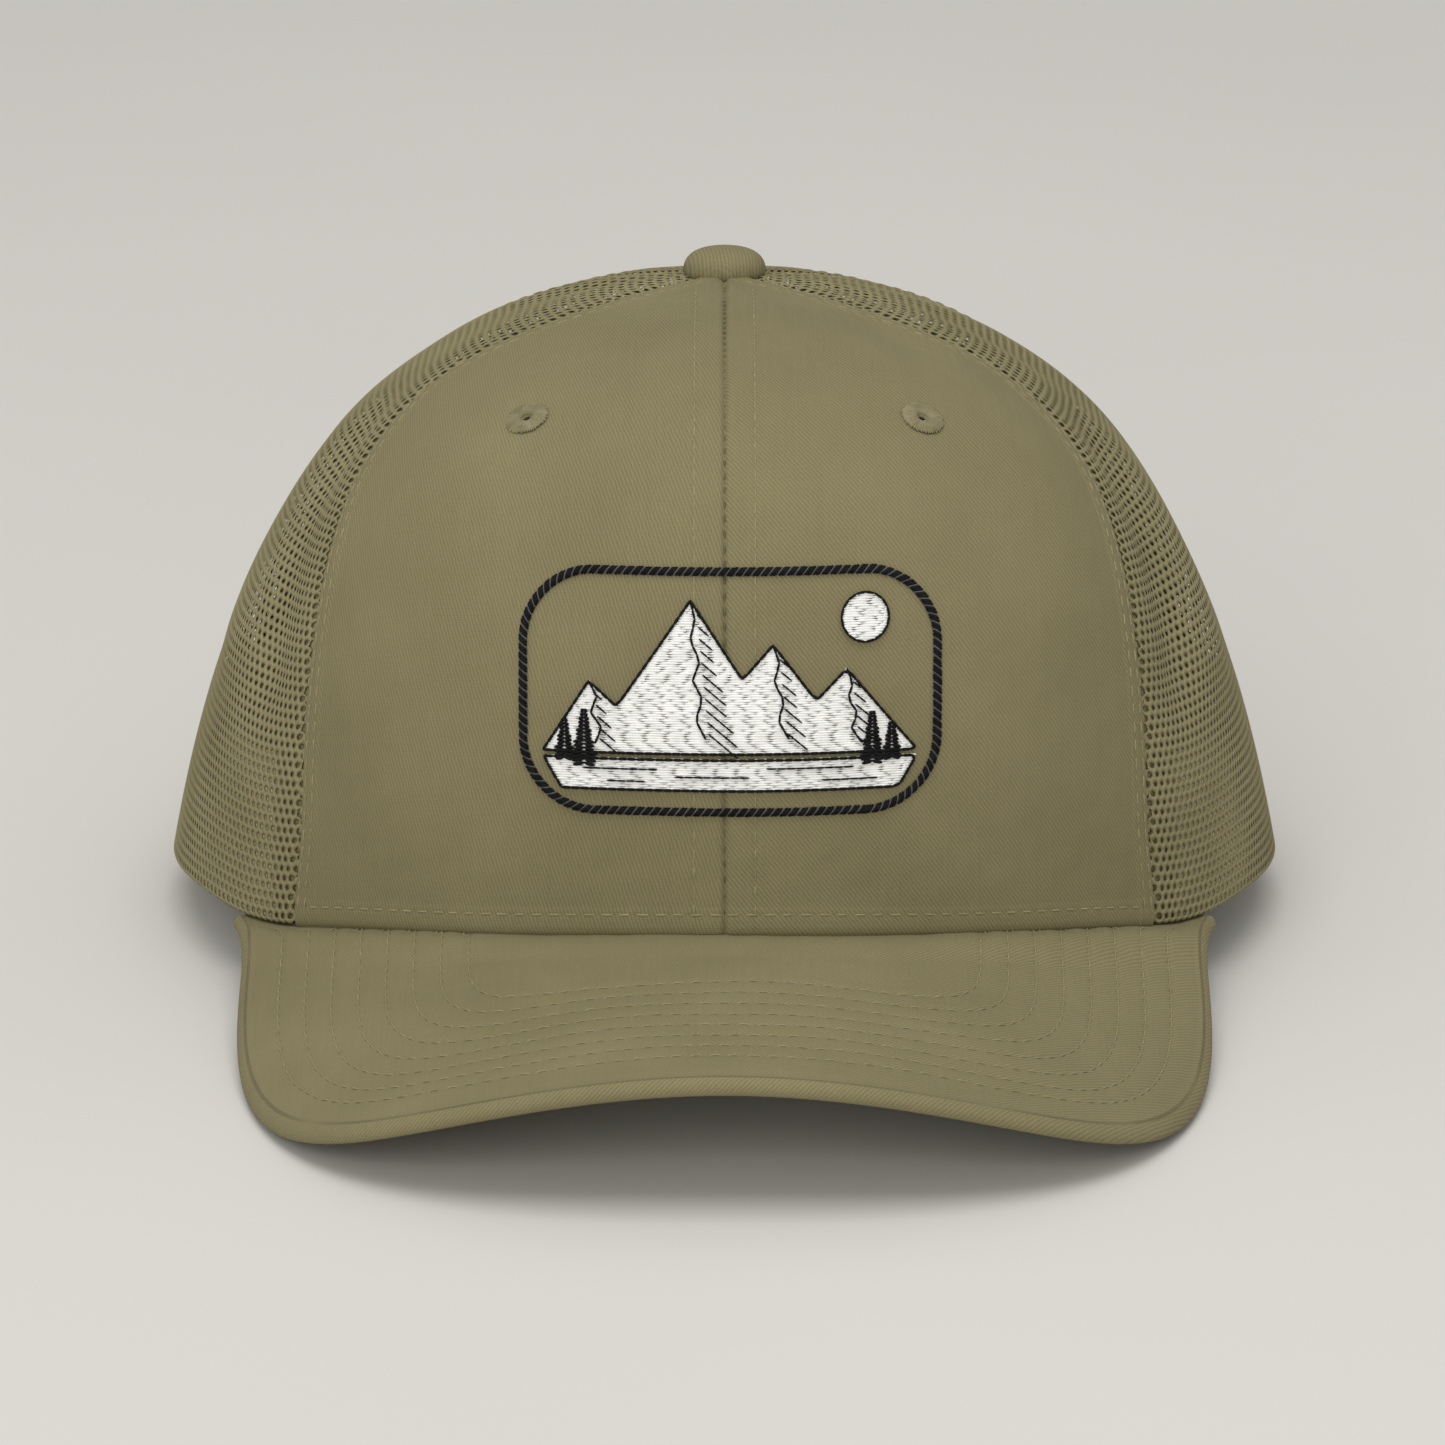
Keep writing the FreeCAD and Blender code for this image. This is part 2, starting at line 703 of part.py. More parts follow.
def make_straps():
    plate = size["strap_plate"]
    outer = size["strap_depth"]

    def flat(distance):
        return outer

    def stepped(distance):
        return outer + size["strap_step"] * smooth((distance - 2) / 5)

    holes = strap_plate(1, flat)
    for step in range(STRAP_STEPS):
        spot, normal = strap_spot(1, step, outer + 4)
        holes = holes.cut(Part.makeCylinder(size["strap_hole_radius"], 9, spot, normal))
    add_shape("hole_strap", holes)

    studs = strap_plate(-1, stepped)
    for step in range(STRAP_STEPS):
        base = stepped(size["strap_first"] + step * size["strap_pitch"])
        spot, normal = strap_spot(-1, step, base + 0.5 * plate)
        neck = Part.makeCylinder(size["stud_neck_radius"], 1.9, spot, normal)
        head = Part.makeCone(size["stud_head_radius"], size["stud_neck_radius"], 0.8,
                             spot + normal * 1.8, normal)
        studs = studs.fuse(neck).fuse(head)
    add_shape("stud_strap", studs)

    middle = size["strap_low"] + size["strap_width"] / 2
    for side, name in ((1, "hole_strap_tab"), (-1, "stud_strap_tab")):
        start = strap_azimuth(-size["root_gap"], side)
        stop = strap_azimuth(-size["root_gap"] - size["tab_length"], side)
        tab = band_patch(start, stop, size["strap_low"], size["strap_low"] + size["strap_width"],
                         outer, outer + plate, 6, 4)
        add_shape(name, tab)
        root = [stance.multVec(band_point(strap_azimuth(0, side), height, outer + plate / 2))
                for height in (size["strap_low"], middle, size["strap_low"] + size["strap_width"])]
        axis = (root[2] - root[0]).normalize()
        print("hinge of", name, [round(value, 3) for value in root[1]],
              "axis", [round(value, 5) for value in axis])


# ---------------------------------------------------------------- build, check and write

make_crown()
make_eyelets()
make_embroidery()
make_sweatband()
make_binding()
make_visor()
make_button()
make_straps()
doc.recompute()

for item in doc.Objects:
    if "Invalid" in item.State or "Error" in item.State:
        raise RuntimeError("%s did not recompute: %s" % (item.Label, item.State))
for item in subparts:
    if item.Shape.isNull() or not item.Shape.isValid():
        raise RuntimeError("%s has no valid shape" % item.Label)
    if len(item.Shape.Solids) != 1:
        raise RuntimeError("%s has %d solids" % (item.Label, len(item.Shape.Solids)))

bounds = FreeCAD.BoundBox()
for item in subparts:
    bounds.add(item.Shape.BoundBox)
print("box from", [round(value, 3) for value in (bounds.XMin, bounds.YMin, bounds.ZMin)],
      "to", [round(value, 3) for value in (bounds.XMax, bounds.YMax, bounds.ZMax)])

os.makedirs("parts", exist_ok=True)
for item in subparts:
    item.Shape.exportStep("parts/%s.step" % item.Label)
print(len(subparts), "sub-parts written")
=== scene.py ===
"""Looks of the trucker mesh cap: twill front and visor, knitted mesh, thread, embroidery, snap straps.

Pieces are worked out in millimetres in the cap's own frame, as the CAD is: the hem plane is z = 0, +Y is
the back, the crown's axis is Z.  to_frame() tilts and moves them to where the CAD cap stands, in metres.
"""

import math

import bpy
import numpy as np
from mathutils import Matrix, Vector


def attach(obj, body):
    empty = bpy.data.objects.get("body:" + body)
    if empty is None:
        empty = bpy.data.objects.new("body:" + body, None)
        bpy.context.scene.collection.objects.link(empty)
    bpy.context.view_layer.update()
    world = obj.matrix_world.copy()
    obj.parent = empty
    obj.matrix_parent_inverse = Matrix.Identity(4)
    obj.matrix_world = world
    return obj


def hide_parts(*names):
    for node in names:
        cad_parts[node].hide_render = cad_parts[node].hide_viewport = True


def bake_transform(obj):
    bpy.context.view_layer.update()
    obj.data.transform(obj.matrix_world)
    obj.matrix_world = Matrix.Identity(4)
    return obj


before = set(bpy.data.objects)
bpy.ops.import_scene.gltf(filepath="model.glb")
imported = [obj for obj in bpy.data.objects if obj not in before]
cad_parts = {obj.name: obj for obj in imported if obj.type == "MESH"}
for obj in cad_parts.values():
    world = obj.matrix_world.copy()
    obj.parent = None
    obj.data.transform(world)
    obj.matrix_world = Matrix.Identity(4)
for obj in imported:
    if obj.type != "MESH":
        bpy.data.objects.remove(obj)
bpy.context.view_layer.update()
rng = np.random.default_rng(11)

# ---------------------------------------------------------------- sizes in millimetres, as in the CAD

HALF_WIDTH = 97.5
FRONT_REACH = 95.0
BACK_REACH = 93.0
HEIGHT = 101.3
HEM_RISE = 6.9
HEM_RISE_ANGLE = 44.0
TEMPLE_DIP = 1.9
TEMPLE_ANGLE = 54.0
TEMPLE_SPREAD = 11.0
SIDE_MERIDIAN = (0.989, 0.85, 0.758, 0.501)
FRONT_MERIDIAN = (1.0, 1.01, 0.781, 0.809)
BACK_MERIDIAN = (0.98, 1.02, 0.368, 0.778)
SQUARENESS = 0.08
TOP_HOLE = 3.2

VISOR_HALF_WIDTH = 81.0
VISOR_LENGTH = 65.9
VISOR_WIDEST = -26.0
VISOR_END_ANGLE = 57.5
VISOR_END = -43.5               # where the legs of its outline end
VISOR_FLARE = 1.9               # how far the legs turn outwards at their ends
VISOR_ROOT_DEPTH = 2.0          # how far its root reaches into the crown
END_COVER = 1.012               # how far the cloth wraps past the ends of the board, 1 at the ends
VISOR_SLOPE = 5.96
VISOR_DROP = 0.4
VISOR_THICK = 3.2
VISOR_ROUND = 0.86
VISOR_CORNER = 2.861
CROSS_ARCH = 0.00362
ARCH_GROWTH = 5.94e-5
CORNER_DROP = 1.7e-7
ROOT_CLEARANCE = 0.2
VISOR_ROWS = 8
ROW_SIDE = 7.0                  # from the visor's side to its first stitch row
ROW_SIDE_STEP = 4.54
ROW_FRONT = 11.1                # from the visor's front to its first stitch row
ROW_FRONT_STEP = 4.8

ARCH_HALF_WIDTH = 38.0
ARCH_HEIGHT = 50.0

BAND_DEPTH = 2.7
BAND_THICK = 1.7
BAND_HEIGHT = 30.0
BAND_SEAMS = (48.5, 117.2)      # azimuths of the side seams at the sweatband
TAPE_ACROSS = np.array([-6, -5.7, -4.6, -3.2, -1.4, -0.75, -0.3, 0.3, 0.75, 1.4, 3.2, 4.6, 5.7, 6.0])

STRAP_ROOT = 20.8
STRAP_PITCH = 8.0
STRAP_FIRST = 6.0
STRAP_END = 4.6
STRAP_STEPS = 7
STRAP_LOW = 2.5
STRAP_WIDTH = 14.0
STRAP_PLATE = 1.0
STRAP_DEPTH = 1.6
STRAP_STEP = 1.3
STRAP_HOLE = 2.5
TAB_LENGTH = 12.7

BUTTON_RADIUS = 7.1
BUTTON_RISE = 4.3
EYELET_AZIMUTH = 27.4
EYELET_WAY = 0.573

BORDER_HALF_WIDTH = 34.65
BORDER_LOW = 26.7
BORDER_HIGH = 66.7
BORDER_CORNER = 12.5
BORDER_STROKE = 1.4
EMBLEM_SHIFT = 0.9

TILT = math.radians(5.445)
SHIFT = 34.626
LIFT = 7.949


def to_frame(points):
    """Cap-frame millimetres to row-frame metres."""
    p = np.asarray(points, float)
    y = p[..., 1] * math.cos(TILT) + p[..., 2] * math.sin(TILT) + SHIFT
    z = -p[..., 1] * math.sin(TILT) + p[..., 2] * math.cos(TILT) + LIFT
    return np.stack([p[..., 0], y, z], -1) / 1000.0


# ---------------------------------------------------------------- small helpers

def smooth(value):
    value = np.clip(value, 0.0, 1.0)
    return value * value * (3 - 2 * value)


def bump_at(distance, centre, width):
    """1 at centre, falling off over width."""
    return np.exp(-((distance - centre) / width) ** 2)


def unit(vectors):
    return vectors / np.maximum(np.linalg.norm(vectors, axis=-1, keepdims=True), 1e-9)


class Ripple:
    """Smooth seeded noise of two coordinates in millimetres."""

    def __init__(self, wavelength):
        terms = 9
        turn = rng.uniform(0, 2 * math.pi, terms)
        size = 2 * math.pi / (wavelength * rng.uniform(0.7, 1.5, terms))
        self.a = size * np.cos(turn)
        self.b = size * np.sin(turn)
        self.phase = rng.uniform(0, 2 * math.pi, terms)

    def __call__(self, x, y):
        total = sum(np.sin(a * x + b * y + p) for a, b, p in zip(self.a, self.b, self.phase))
        return total / math.sqrt(len(self.a))


# ---------------------------------------------------------------- the crown's surface

def cubic(a, b, c, d, way):
    rest = 1 - way
    return a * rest ** 3 + 3 * b * way * rest ** 2 + 3 * c * way ** 2 * rest + d * way ** 3


def hem_height(azimuth):
    turn = np.abs((azimuth + 180) % 360 - 180)
    dip = TEMPLE_DIP * bump_at(turn, TEMPLE_ANGLE, TEMPLE_SPREAD)
    return HEM_RISE * bump_at(turn, 0, HEM_RISE_ANGLE) - dip


def meridian(azimuth, way):
    across = np.cos(np.radians(azimuth))
    front = across > 0
    mixed = [side + np.where(front, ahead - side, behind - side) * across ** 2
             for side, ahead, behind in zip(SIDE_MERIDIAN, FRONT_MERIDIAN, BACK_MERIDIAN)]
    radius = cubic(mixed[0], mixed[1], mixed[3], 0, way)
    corner = np.sin(np.radians(2 * azimuth)) ** 2 * front
    radius = radius * (1 + SQUARENESS * 4 * way * (1 - way) * corner)
    return radius, cubic(0, mixed[2], 1, 1, way)


def skin(azimuth, way):
    azimuth, way = np.broadcast_arrays(np.asarray(azimuth, float), np.asarray(way, float))
    radius, height = meridian(azimuth, way)
    turn = np.radians(azimuth)
    reach = np.where(np.cos(turn) > 0, FRONT_REACH, BACK_REACH)
    base = hem_height(azimuth)
    return np.stack([HALF_WIDTH * np.sin(turn) * radius, -reach * np.cos(turn) * radius,
                     base + (HEIGHT - base) * height], -1)


def skin_normal(azimuth, way):
    azimuth, way = np.asarray(azimuth, float), np.asarray(way, float)
    along = skin(azimuth, way + 0.002) - skin(azimuth, way - 0.002)
    around = skin(azimuth + 0.2, way) - skin(azimuth - 0.2, way)
    return unit(np.cross(around, along))


def crown(azimuth, way, depth):
    """Points of the crown, depth millimetres inside its outer surface."""
    return skin(azimuth, way) - skin_normal(azimuth, way) * np.asarray(depth, float)[..., None]


def bisect(goal, low, high):
    """Where goal(x), an array test that is true below the answer, turns false."""
    for _ in range(30):
        middle = (low + high) / 2
        below = goal(middle)
        low, high = np.where(below, middle, low), np.where(below, high, middle)
    return low


def way_at_height(azimuth, height):
    azimuth, height = np.broadcast_arrays(np.asarray(azimuth, float), np.asarray(height, float))
    span = HEIGHT - hem_height(azimuth)
    return bisect(lambda way: meridian(azimuth, way)[1] * span < height,
                  np.full(azimuth.shape, -0.05), np.ones(azimuth.shape))


def way_at_radius(azimuth, radius):
    azimuth = np.asarray(azimuth, float)
    return bisect(lambda way: radius_at(azimuth, way) > radius,
                  np.full(azimuth.shape, 0.4), np.ones(azimuth.shape))


def radius_at(azimuth, way):
    point = skin(azimuth, way)
    return np.hypot(point[..., 0], point[..., 1])


def band(azimuth, height, depth):
    return crown(azimuth, way_at_height(azimuth, height), depth)


def facing_spot(x, z, back=False):
    """Azimuth and way of the crown's outer surface at a given x and z, on the front or the back."""
    x, z = np.broadcast_arrays(np.asarray(x, float), np.asarray(z, float))
    azimuth = np.full(x.shape, 180.0) if back else np.zeros(x.shape)
    for _ in range(14):
        way = bisect(lambda w: skin(azimuth, w)[..., 2] < z, np.full(x.shape, -0.05), np.ones(x.shape))
        width = meridian(azimuth, way)[0] * HALF_WIDTH
        turn = np.degrees(np.arcsin(np.clip(x / width, -0.999, 0.999)))
        azimuth = 180 - turn if back else turn
    return azimuth, way


# the six panels' seams: azimuth against way

def front_seam(way):
    swell = 8.2 * bump_at(way, 0.585, 0.24) - 5.5 * smooth((way - 0.6) / 0.3)
    return 47.0 + swell + 1.5 * bump_at(np.maximum(way, 0), 0, 0.055)


def rear_seam(way):
    return 117.0 + 3 * way


def centre_seam(way):
    return 0 * way


def back_seam(way):
    return 180.0 + 0 * way


# ---------------------------------------------------------------- the visor's surface

def visor_arch(x, forward):
    bend = CROSS_ARCH + ARCH_GROWTH * np.maximum(forward, -60.0)
    return (HEM_RISE - VISOR_DROP - math.tan(math.radians(VISOR_SLOPE)) * forward
            - bend * x * x / 2 - CORNER_DROP * x ** 4)


def visor_top(x, forward):
    """Height of the upper surface: its root runs just under the crown's hem."""
    bearing = np.degrees(np.arctan2(x / HALF_WIDTH, (FRONT_REACH + forward) / FRONT_REACH))
    hem = skin(bearing, 0.0)
    outside = np.hypot(x, FRONT_REACH + forward) - np.hypot(hem[..., 0], hem[..., 1])
    inside = 0.5 * np.log1p(np.exp(-outside / 0.5))
    root = hem[..., 2] - skin_normal(bearing, 0.0 * bearing)[..., 2] * inside - ROOT_CLEARANCE
    share = 1 - smooth((outside - 0.6) / 10.0)
    return visor_arch(x, forward) * (1 - share) + root * share


def rounded_outline(u, width, length, corner, end):
    """Plan curve: a rounded-square front of half-width width, with legs that run back to end."""
    u = np.asarray(u, float)
    part, side = np.abs(u), np.sign(u)
    turn = np.radians(90 * np.clip(part / VISOR_ROUND, 0, 1))
    reach = ((np.sin(turn) / width) ** corner
             + (np.cos(turn) / (length - VISOR_WIDEST)) ** corner) ** (-1 / corner)
    back = np.clip((part - VISOR_ROUND) / (1 - VISOR_ROUND), 0, 1.1)
    x = side * (reach * np.sin(turn) + VISOR_FLARE * back ** 2 * width / VISOR_HALF_WIDTH)
    forward = VISOR_WIDEST + reach * np.cos(turn) * (part < VISOR_ROUND) + (end - VISOR_WIDEST) * back
    return x, forward


def visor_outline(u, inset):
    return rounded_outline(u, VISOR_HALF_WIDTH - inset, VISOR_LENGTH - inset, VISOR_CORNER, VISOR_END)


def visor_row(u, row):
    """Stitch row, 0 at the outside; its legs end at the crown's seam."""
    width = VISOR_HALF_WIDTH - ROW_SIDE - ROW_SIDE_STEP * row
    length = VISOR_LENGTH - ROW_FRONT - ROW_FRONT_STEP * row
    end = -FRONT_REACH * (1 - math.cos(math.asin(width / HALF_WIDTH / 0.985))) + 1.0
    return rounded_outline(u, width, length, 3.4 + 0.5 * row, end)


def visor_place(x, forward, below=0.0):
    return np.stack([x, -FRONT_REACH - forward, visor_top(x, forward) - below], -1)


# ---------------------------------------------------------------- building meshes

def add_mesh(name, points, faces, material, slot, body="cap", replaces=(), uv=None):
    """One Blender object from cap-frame points and lists of faces of equal length."""
    groups = [np.asarray(group) for group in faces if len(group)]
    mesh = bpy.data.meshes.new(name)
    points = to_frame(points).reshape(-1, 3)
    corners = np.concatenate([group.ravel() for group in groups])
    sizes = np.concatenate([np.full(len(group), group.shape[1]) for group in groups])
    mesh.vertices.add(len(points))
    mesh.vertices.foreach_set("co", points.ravel())
    mesh.loops.add(len(corners))
    mesh.loops.foreach_set("vertex_index", corners)
    mesh.polygons.add(len(sizes))
    mesh.polygons.foreach_set("loop_start", np.concatenate([[0], np.cumsum(sizes)[:-1]]))
    if uv is not None:
        layer = mesh.uv_layers.new(name="cloth")
        layer.data.foreach_set("uv", np.asarray(uv, float).reshape(-1, 2)[corners].ravel())
    mesh.update(calc_edges=True)
    mesh.validate()
    mesh.polygons.foreach_set("use_smooth", np.full(len(mesh.polygons), True))
    mesh.materials.append(material)
    piece = bpy.data.objects.new(name, mesh)
    bpy.context.scene.collection.objects.link(piece)
    if body:
        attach(piece, body)
    if replaces:
        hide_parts(*replaces)
    return piece


def quads(rows, columns, wrap_rows=False, wrap_columns=False):
    """Faces of a grid of rows x columns points."""
    i, j = np.meshgrid(np.arange(rows if wrap_rows else rows - 1),
                       np.arange(columns if wrap_columns else columns - 1), indexing="ij")
    i, j = i.ravel(), j.ravel()
    here, below = i * columns, (i + 1) % rows * columns
    right = (j + 1) % columns
    return np.stack([here + j, below + j, below + right, here + right], 1)


def loop_faces(rows, columns):
    """Walls and two end caps of a closed bar of rows x columns points, each row a loop."""
    ends = np.stack([np.arange(columns), (np.arange(columns) + (rows - 1) * columns)[::-1]])
    return quads(rows, columns, wrap_columns=True), ends


def spokes(normal, turn):
    """Unit vectors square to normal, at the angles turn from the level one."""
    east = unit(np.cross([0, 0, 1.0], normal))
    north = np.cross(normal, east)
    return np.cos(turn)[:, None] * east + np.sin(turn)[:, None] * north


def turned(centre, normal, turn, reach, rise):
    """Rings of points round normal, at the angles turn, one ring for each reach and rise."""
    return centre + spokes(normal, turn)[:, None] * reach[:, None] + normal * rise[:, None]


def rim_faces(faces, count):
    """Faces that join two stacked skins, of count points each, along the open edges of the first."""
    edges = np.concatenate([faces[:, [a, b]] for a, b in ((0, 1), (1, 2), (2, 3), (3, 0))])
    key = np.sort(edges, 1)
    _, first, uses = np.unique(key, axis=0, return_index=True, return_counts=True)
    open_edges = edges[first[uses == 1]]
    a, b = open_edges[:, 0], open_edges[:, 1]
    return np.stack([b, a, a + count, b + count], 1)


def thick_shell(outer, inner, keep):
    """Points and faces of a closed shell between two grids, where keep is true."""
    rows, columns = outer.shape[:2]
    faces = quads(rows, columns)
    faces = faces[keep.ravel()[faces].all(1)]
    count = rows * columns
    points = np.concatenate([outer.reshape(-1, 3), inner.reshape(-1, 3)])
    return points, [np.concatenate([faces, faces[:, ::-1] + count, rim_faces(faces, count)])]


def tubes(centres, normals, width, height):
    """Threads: centres is (threads, rings, 3), normals points away from the cloth."""
    sides, taper = 6, 0.45
    count, rings = centres.shape[:2]
    tangent = np.gradient(centres, axis=1)
    across = unit(np.cross(tangent, normals))
    up = unit(np.cross(across, tangent))
    turn = np.arange(sides) * 2 * math.pi / sides
    girth = np.ones(rings)
    girth[0] = girth[-1] = taper
    wide = (np.broadcast_to(np.asarray(width, float), (count, rings)) * girth)[..., None, None]
    tall = (np.broadcast_to(np.asarray(height, float), (count, rings)) * girth)[..., None, None]
    ring = (centres[:, :, None] + across[:, :, None] * wide * np.cos(turn)[:, None]
            + up[:, :, None] * tall * np.sin(turn)[:, None])
    base = (np.arange(count) * rings * sides)[:, None, None]
    one = quads(rings, sides, wrap_columns=True)[None, :, ::-1]
    walls = (base + one).reshape(-1, 4)
    starts = (np.arange(count) * rings * sides)[:, None] + np.arange(sides)
    ends = starts[:, ::-1] + (rings - 1) * sides
    return ring.reshape(-1, 3), [walls, np.concatenate([starts, ends])]


def join_parts(parts):
    """Several (points, faces) as one, face groups kept by their size."""
    points, groups, base = [], {}, 0
    for part_points, part_faces in parts:
        points.append(part_points.reshape(-1, part_points.shape[-1]))
        for group in part_faces:
            groups.setdefault(group.shape[1], []).append(group + base)
        base += len(points[-1])
    return np.concatenate(points), [np.concatenate(group) for group in groups.values()]


def add_parts(name, parts, material, slot, **rest):
    """One Blender object from several (points, faces)."""
    points, faces = join_parts(parts)
    return add_mesh(name, points, faces, material, slot, **rest)


def lengths(points):
    step = np.linalg.norm(np.diff(points, axis=0), axis=1)
    return np.concatenate([[0], np.cumsum(step)])


def at_lengths(line, wanted, values=None):
    """A polyline's points, or the values kept at its points, at the wanted lengths along it."""
    along = lengths(line)
    values = line if values is None else values
    return np.stack([np.interp(wanted, along, column) for column in values.T], -1)


def stitches(line, normals, pitch, length, width, lift):
    """Lockstitches along a line on the cloth: each rises out of one needle hole and dips into the next."""
    total = lengths(line)[-1]
    count = max(int(total / pitch), 1)
    pitch = total / count
    start = (np.arange(count) + 0.5) * pitch - length / 2
    rings = 7
    way = np.linspace(0, 1, rings)
    wanted = start[:, None] + way * length + rng.normal(0, 0.04, (count, 1))
    centres = at_lengths(line, wanted.ravel()).reshape(count, rings, 3)
    normal = unit(at_lengths(line, wanted.ravel(), normals).reshape(count, rings, 3))
    rise = lift * np.sin(math.pi * way) ** 0.6 - 0.14
    side = unit(np.cross(normal, np.gradient(centres, axis=1)))
    lean = rng.normal(0, 0.035, (count, 1, 1)) * (way - 0.5)[None, :, None]
    centres = centres + normal * rise[None, :, None] + side * lean * 2
    return tubes(centres, normal, width, width * 0.8)


# ---------------------------------------------------------------- materials

def srgb(r, g, b):
    """Linear colour from 8-bit display values."""
    shares = [c / 255 for c in (r, g, b)]
    return tuple(c / 12.92 if c < 0.0404 else ((c + 0.055) / 1.055) ** 2.4 for c in shares) + (1,)


class Nodes:
    """Short way to write a node tree."""

    def __init__(self, name, roughness=0.8, sheen=0.0, specular=0.5):
        self.material = bpy.data.materials.new(name)
        self.material.use_nodes = True
        self.tree = self.material.node_tree
        self.shader = self.tree.nodes["Principled BSDF"]
        self.shader.inputs["Roughness"].default_value = roughness
        self.shader.inputs["Specular IOR Level"].default_value = specular
        if sheen:
            self.shader.inputs["Sheen Weight"].default_value = sheen
            self.shader.inputs["Sheen Roughness"].default_value = 0.5

    def node(self, kind, inputs=(), **settings):
        item = self.tree.nodes.new("ShaderNode" + kind)
        for key, value in settings.items():
            setattr(item, key, value)
        for key, value in dict(inputs).items():
            if isinstance(value, bpy.types.NodeSocket):
                self.tree.links.new(value, item.inputs[key])
            else:
                item.inputs[key].default_value = value
        return item

    def math(self, operation, a, b=0.0):
        return self.node("Math", {0: a, 1: b}, operation=operation).outputs[0]

    def total(self, *terms):
        """Sum of weighted values, each term a (value, weight)."""
        parts = [self.math("MULTIPLY", value, weight) for value, weight in terms]
        whole = parts[0]
        for part in parts[1:]:
            whole = self.math("ADD", whole, part)
        return whole

    def cloth_axes(self):
        """The two UV coordinates, in millimetres of cloth."""
        split = self.node("SeparateXYZ", {0: self.node("UVMap", uv_map="cloth").outputs[0]})
        return split.outputs[0], split.outputs[1]

    def place(self):
        return self.node("TexCoord").outputs["Object"]

    def noise(self, scale, detail=2.0, vector=None):
        """Noise of the place in metres, from 0 to 1."""
        inputs = {"Vector": vector or self.place(), "Scale": scale, "Detail": detail}
        return self.node("TexNoise", inputs).outputs["Fac"]

    def blend(self, factor, a, b):
        return self.node("Mix", {0: factor, 6: a, 7: b}, data_type="RGBA").outputs[2]

    def ramp(self, factor, low, high, out_low=0.0, out_high=1.0):
        inputs = {0: factor, 1: low, 2: high, 3: out_low, 4: out_high}
        return self.node("MapRange", inputs).outputs[0]

    def finish(self, colour, height=None, distance=0.0001, strength=1.0, roughness=None):
        self.tree.links.new(colour, self.shader.inputs["Base Color"])
        if roughness is not None:
            self.tree.links.new(roughness, self.shader.inputs["Roughness"])
        if height is not None:
            bump = self.node("Bump", {"Height": height, "Distance": distance, "Strength": strength})
            self.tree.links.new(bump.outputs[0], self.shader.inputs["Normal"])
        return self.material


def ribs(nodes, u, v, angle, pitch):
    """Rounded ribs that run across the cloth at an angle, -1 to 1."""
    along = nodes.total((u, math.cos(angle) / pitch), (v, math.sin(angle) / pitch))
    return nodes.math("SINE", nodes.math("MULTIPLY", along, 2 * math.pi))


def half(nodes, wave):
    """A sine wave brought to 0..1."""
    return nodes.ramp(wave, -1.0, 1.0)


def twill(name, dark, light, pitch=0.6, angle=0.9):
    """Cotton twill: diagonal ribs broken into single yarns, faint lengthwise slubs, soft nap."""
    nodes = Nodes(name, roughness=0.9, sheen=0.02, specular=0.1)
    u, v = nodes.cloth_axes()
    wobble = nodes.math("MULTIPLY", nodes.math("SUBTRACT", nodes.noise(900, 1), 0.5), 0.35)
    rib = half(nodes, ribs(nodes, nodes.math("ADD", u, wobble), v, angle, pitch))
    yarn = half(nodes, ribs(nodes, u, v, angle + 1.25, pitch * 0.62))
    weave = nodes.total((rib, 0.7), (yarn, 0.3))
    drawn = nodes.node("CombineXYZ", {0: nodes.math("MULTIPLY", u, 2.2), 1: nodes.math("MULTIPLY", v, 0.05)})
    slub = nodes.noise(1.0, 2.0, drawn.outputs[0])
    blotch = nodes.noise(38, 3)
    fuzz = nodes.noise(5200, 2)
    tone = nodes.total((weave, 0.32), (slub, 0.12), (blotch, 0.30), (fuzz, 0.34))
    colour = nodes.blend(nodes.ramp(tone, 0.22, 0.82), dark, light)
    height = nodes.math("ADD", weave, nodes.math("MULTIPLY", fuzz, 0.5))
    rough = nodes.ramp(blotch, 0.3, 0.7, 0.82, 0.92)
    return nodes.finish(colour, height, 0.00005, 0.8, rough)


def knit(name, dark, light):
    """Polyester mesh yarn: fine filaments along the strands, slight sheen."""
    nodes = Nodes(name, roughness=0.75, sheen=0.03, specular=0.15)
    u, v = nodes.cloth_axes()
    bent = nodes.math("ADD", u, nodes.math("MULTIPLY", nodes.noise(2500, 1), 0.25))
    filament = half(nodes, ribs(nodes, bent, v, 0.35, 0.24))
    fuzz = nodes.noise(4200, 2)
    tone = nodes.total((filament, 0.35), (fuzz, 0.35), (nodes.noise(45, 2), 0.35))
    colour = nodes.blend(nodes.ramp(tone, 0.3, 0.8), dark, light)
    return nodes.finish(colour, nodes.math("ADD", filament, fuzz), 0.00006, 0.7)


def thread(name, dark, light, sheen=0.04, roughness=0.6, specular=0.25):
    """Sewing thread: colour varies from stitch to stitch, fine twist."""
    nodes = Nodes(name, roughness=roughness, sheen=sheen, specular=specular)
    twist = nodes.noise(7000, 1)
    tone = nodes.total((nodes.noise(420, 2), 0.7), (twist, 0.4))
    colour = nodes.blend(nodes.ramp(tone, 0.35, 0.75), dark, light)
    return nodes.finish(colour, twist, 0.00004, 0.6)


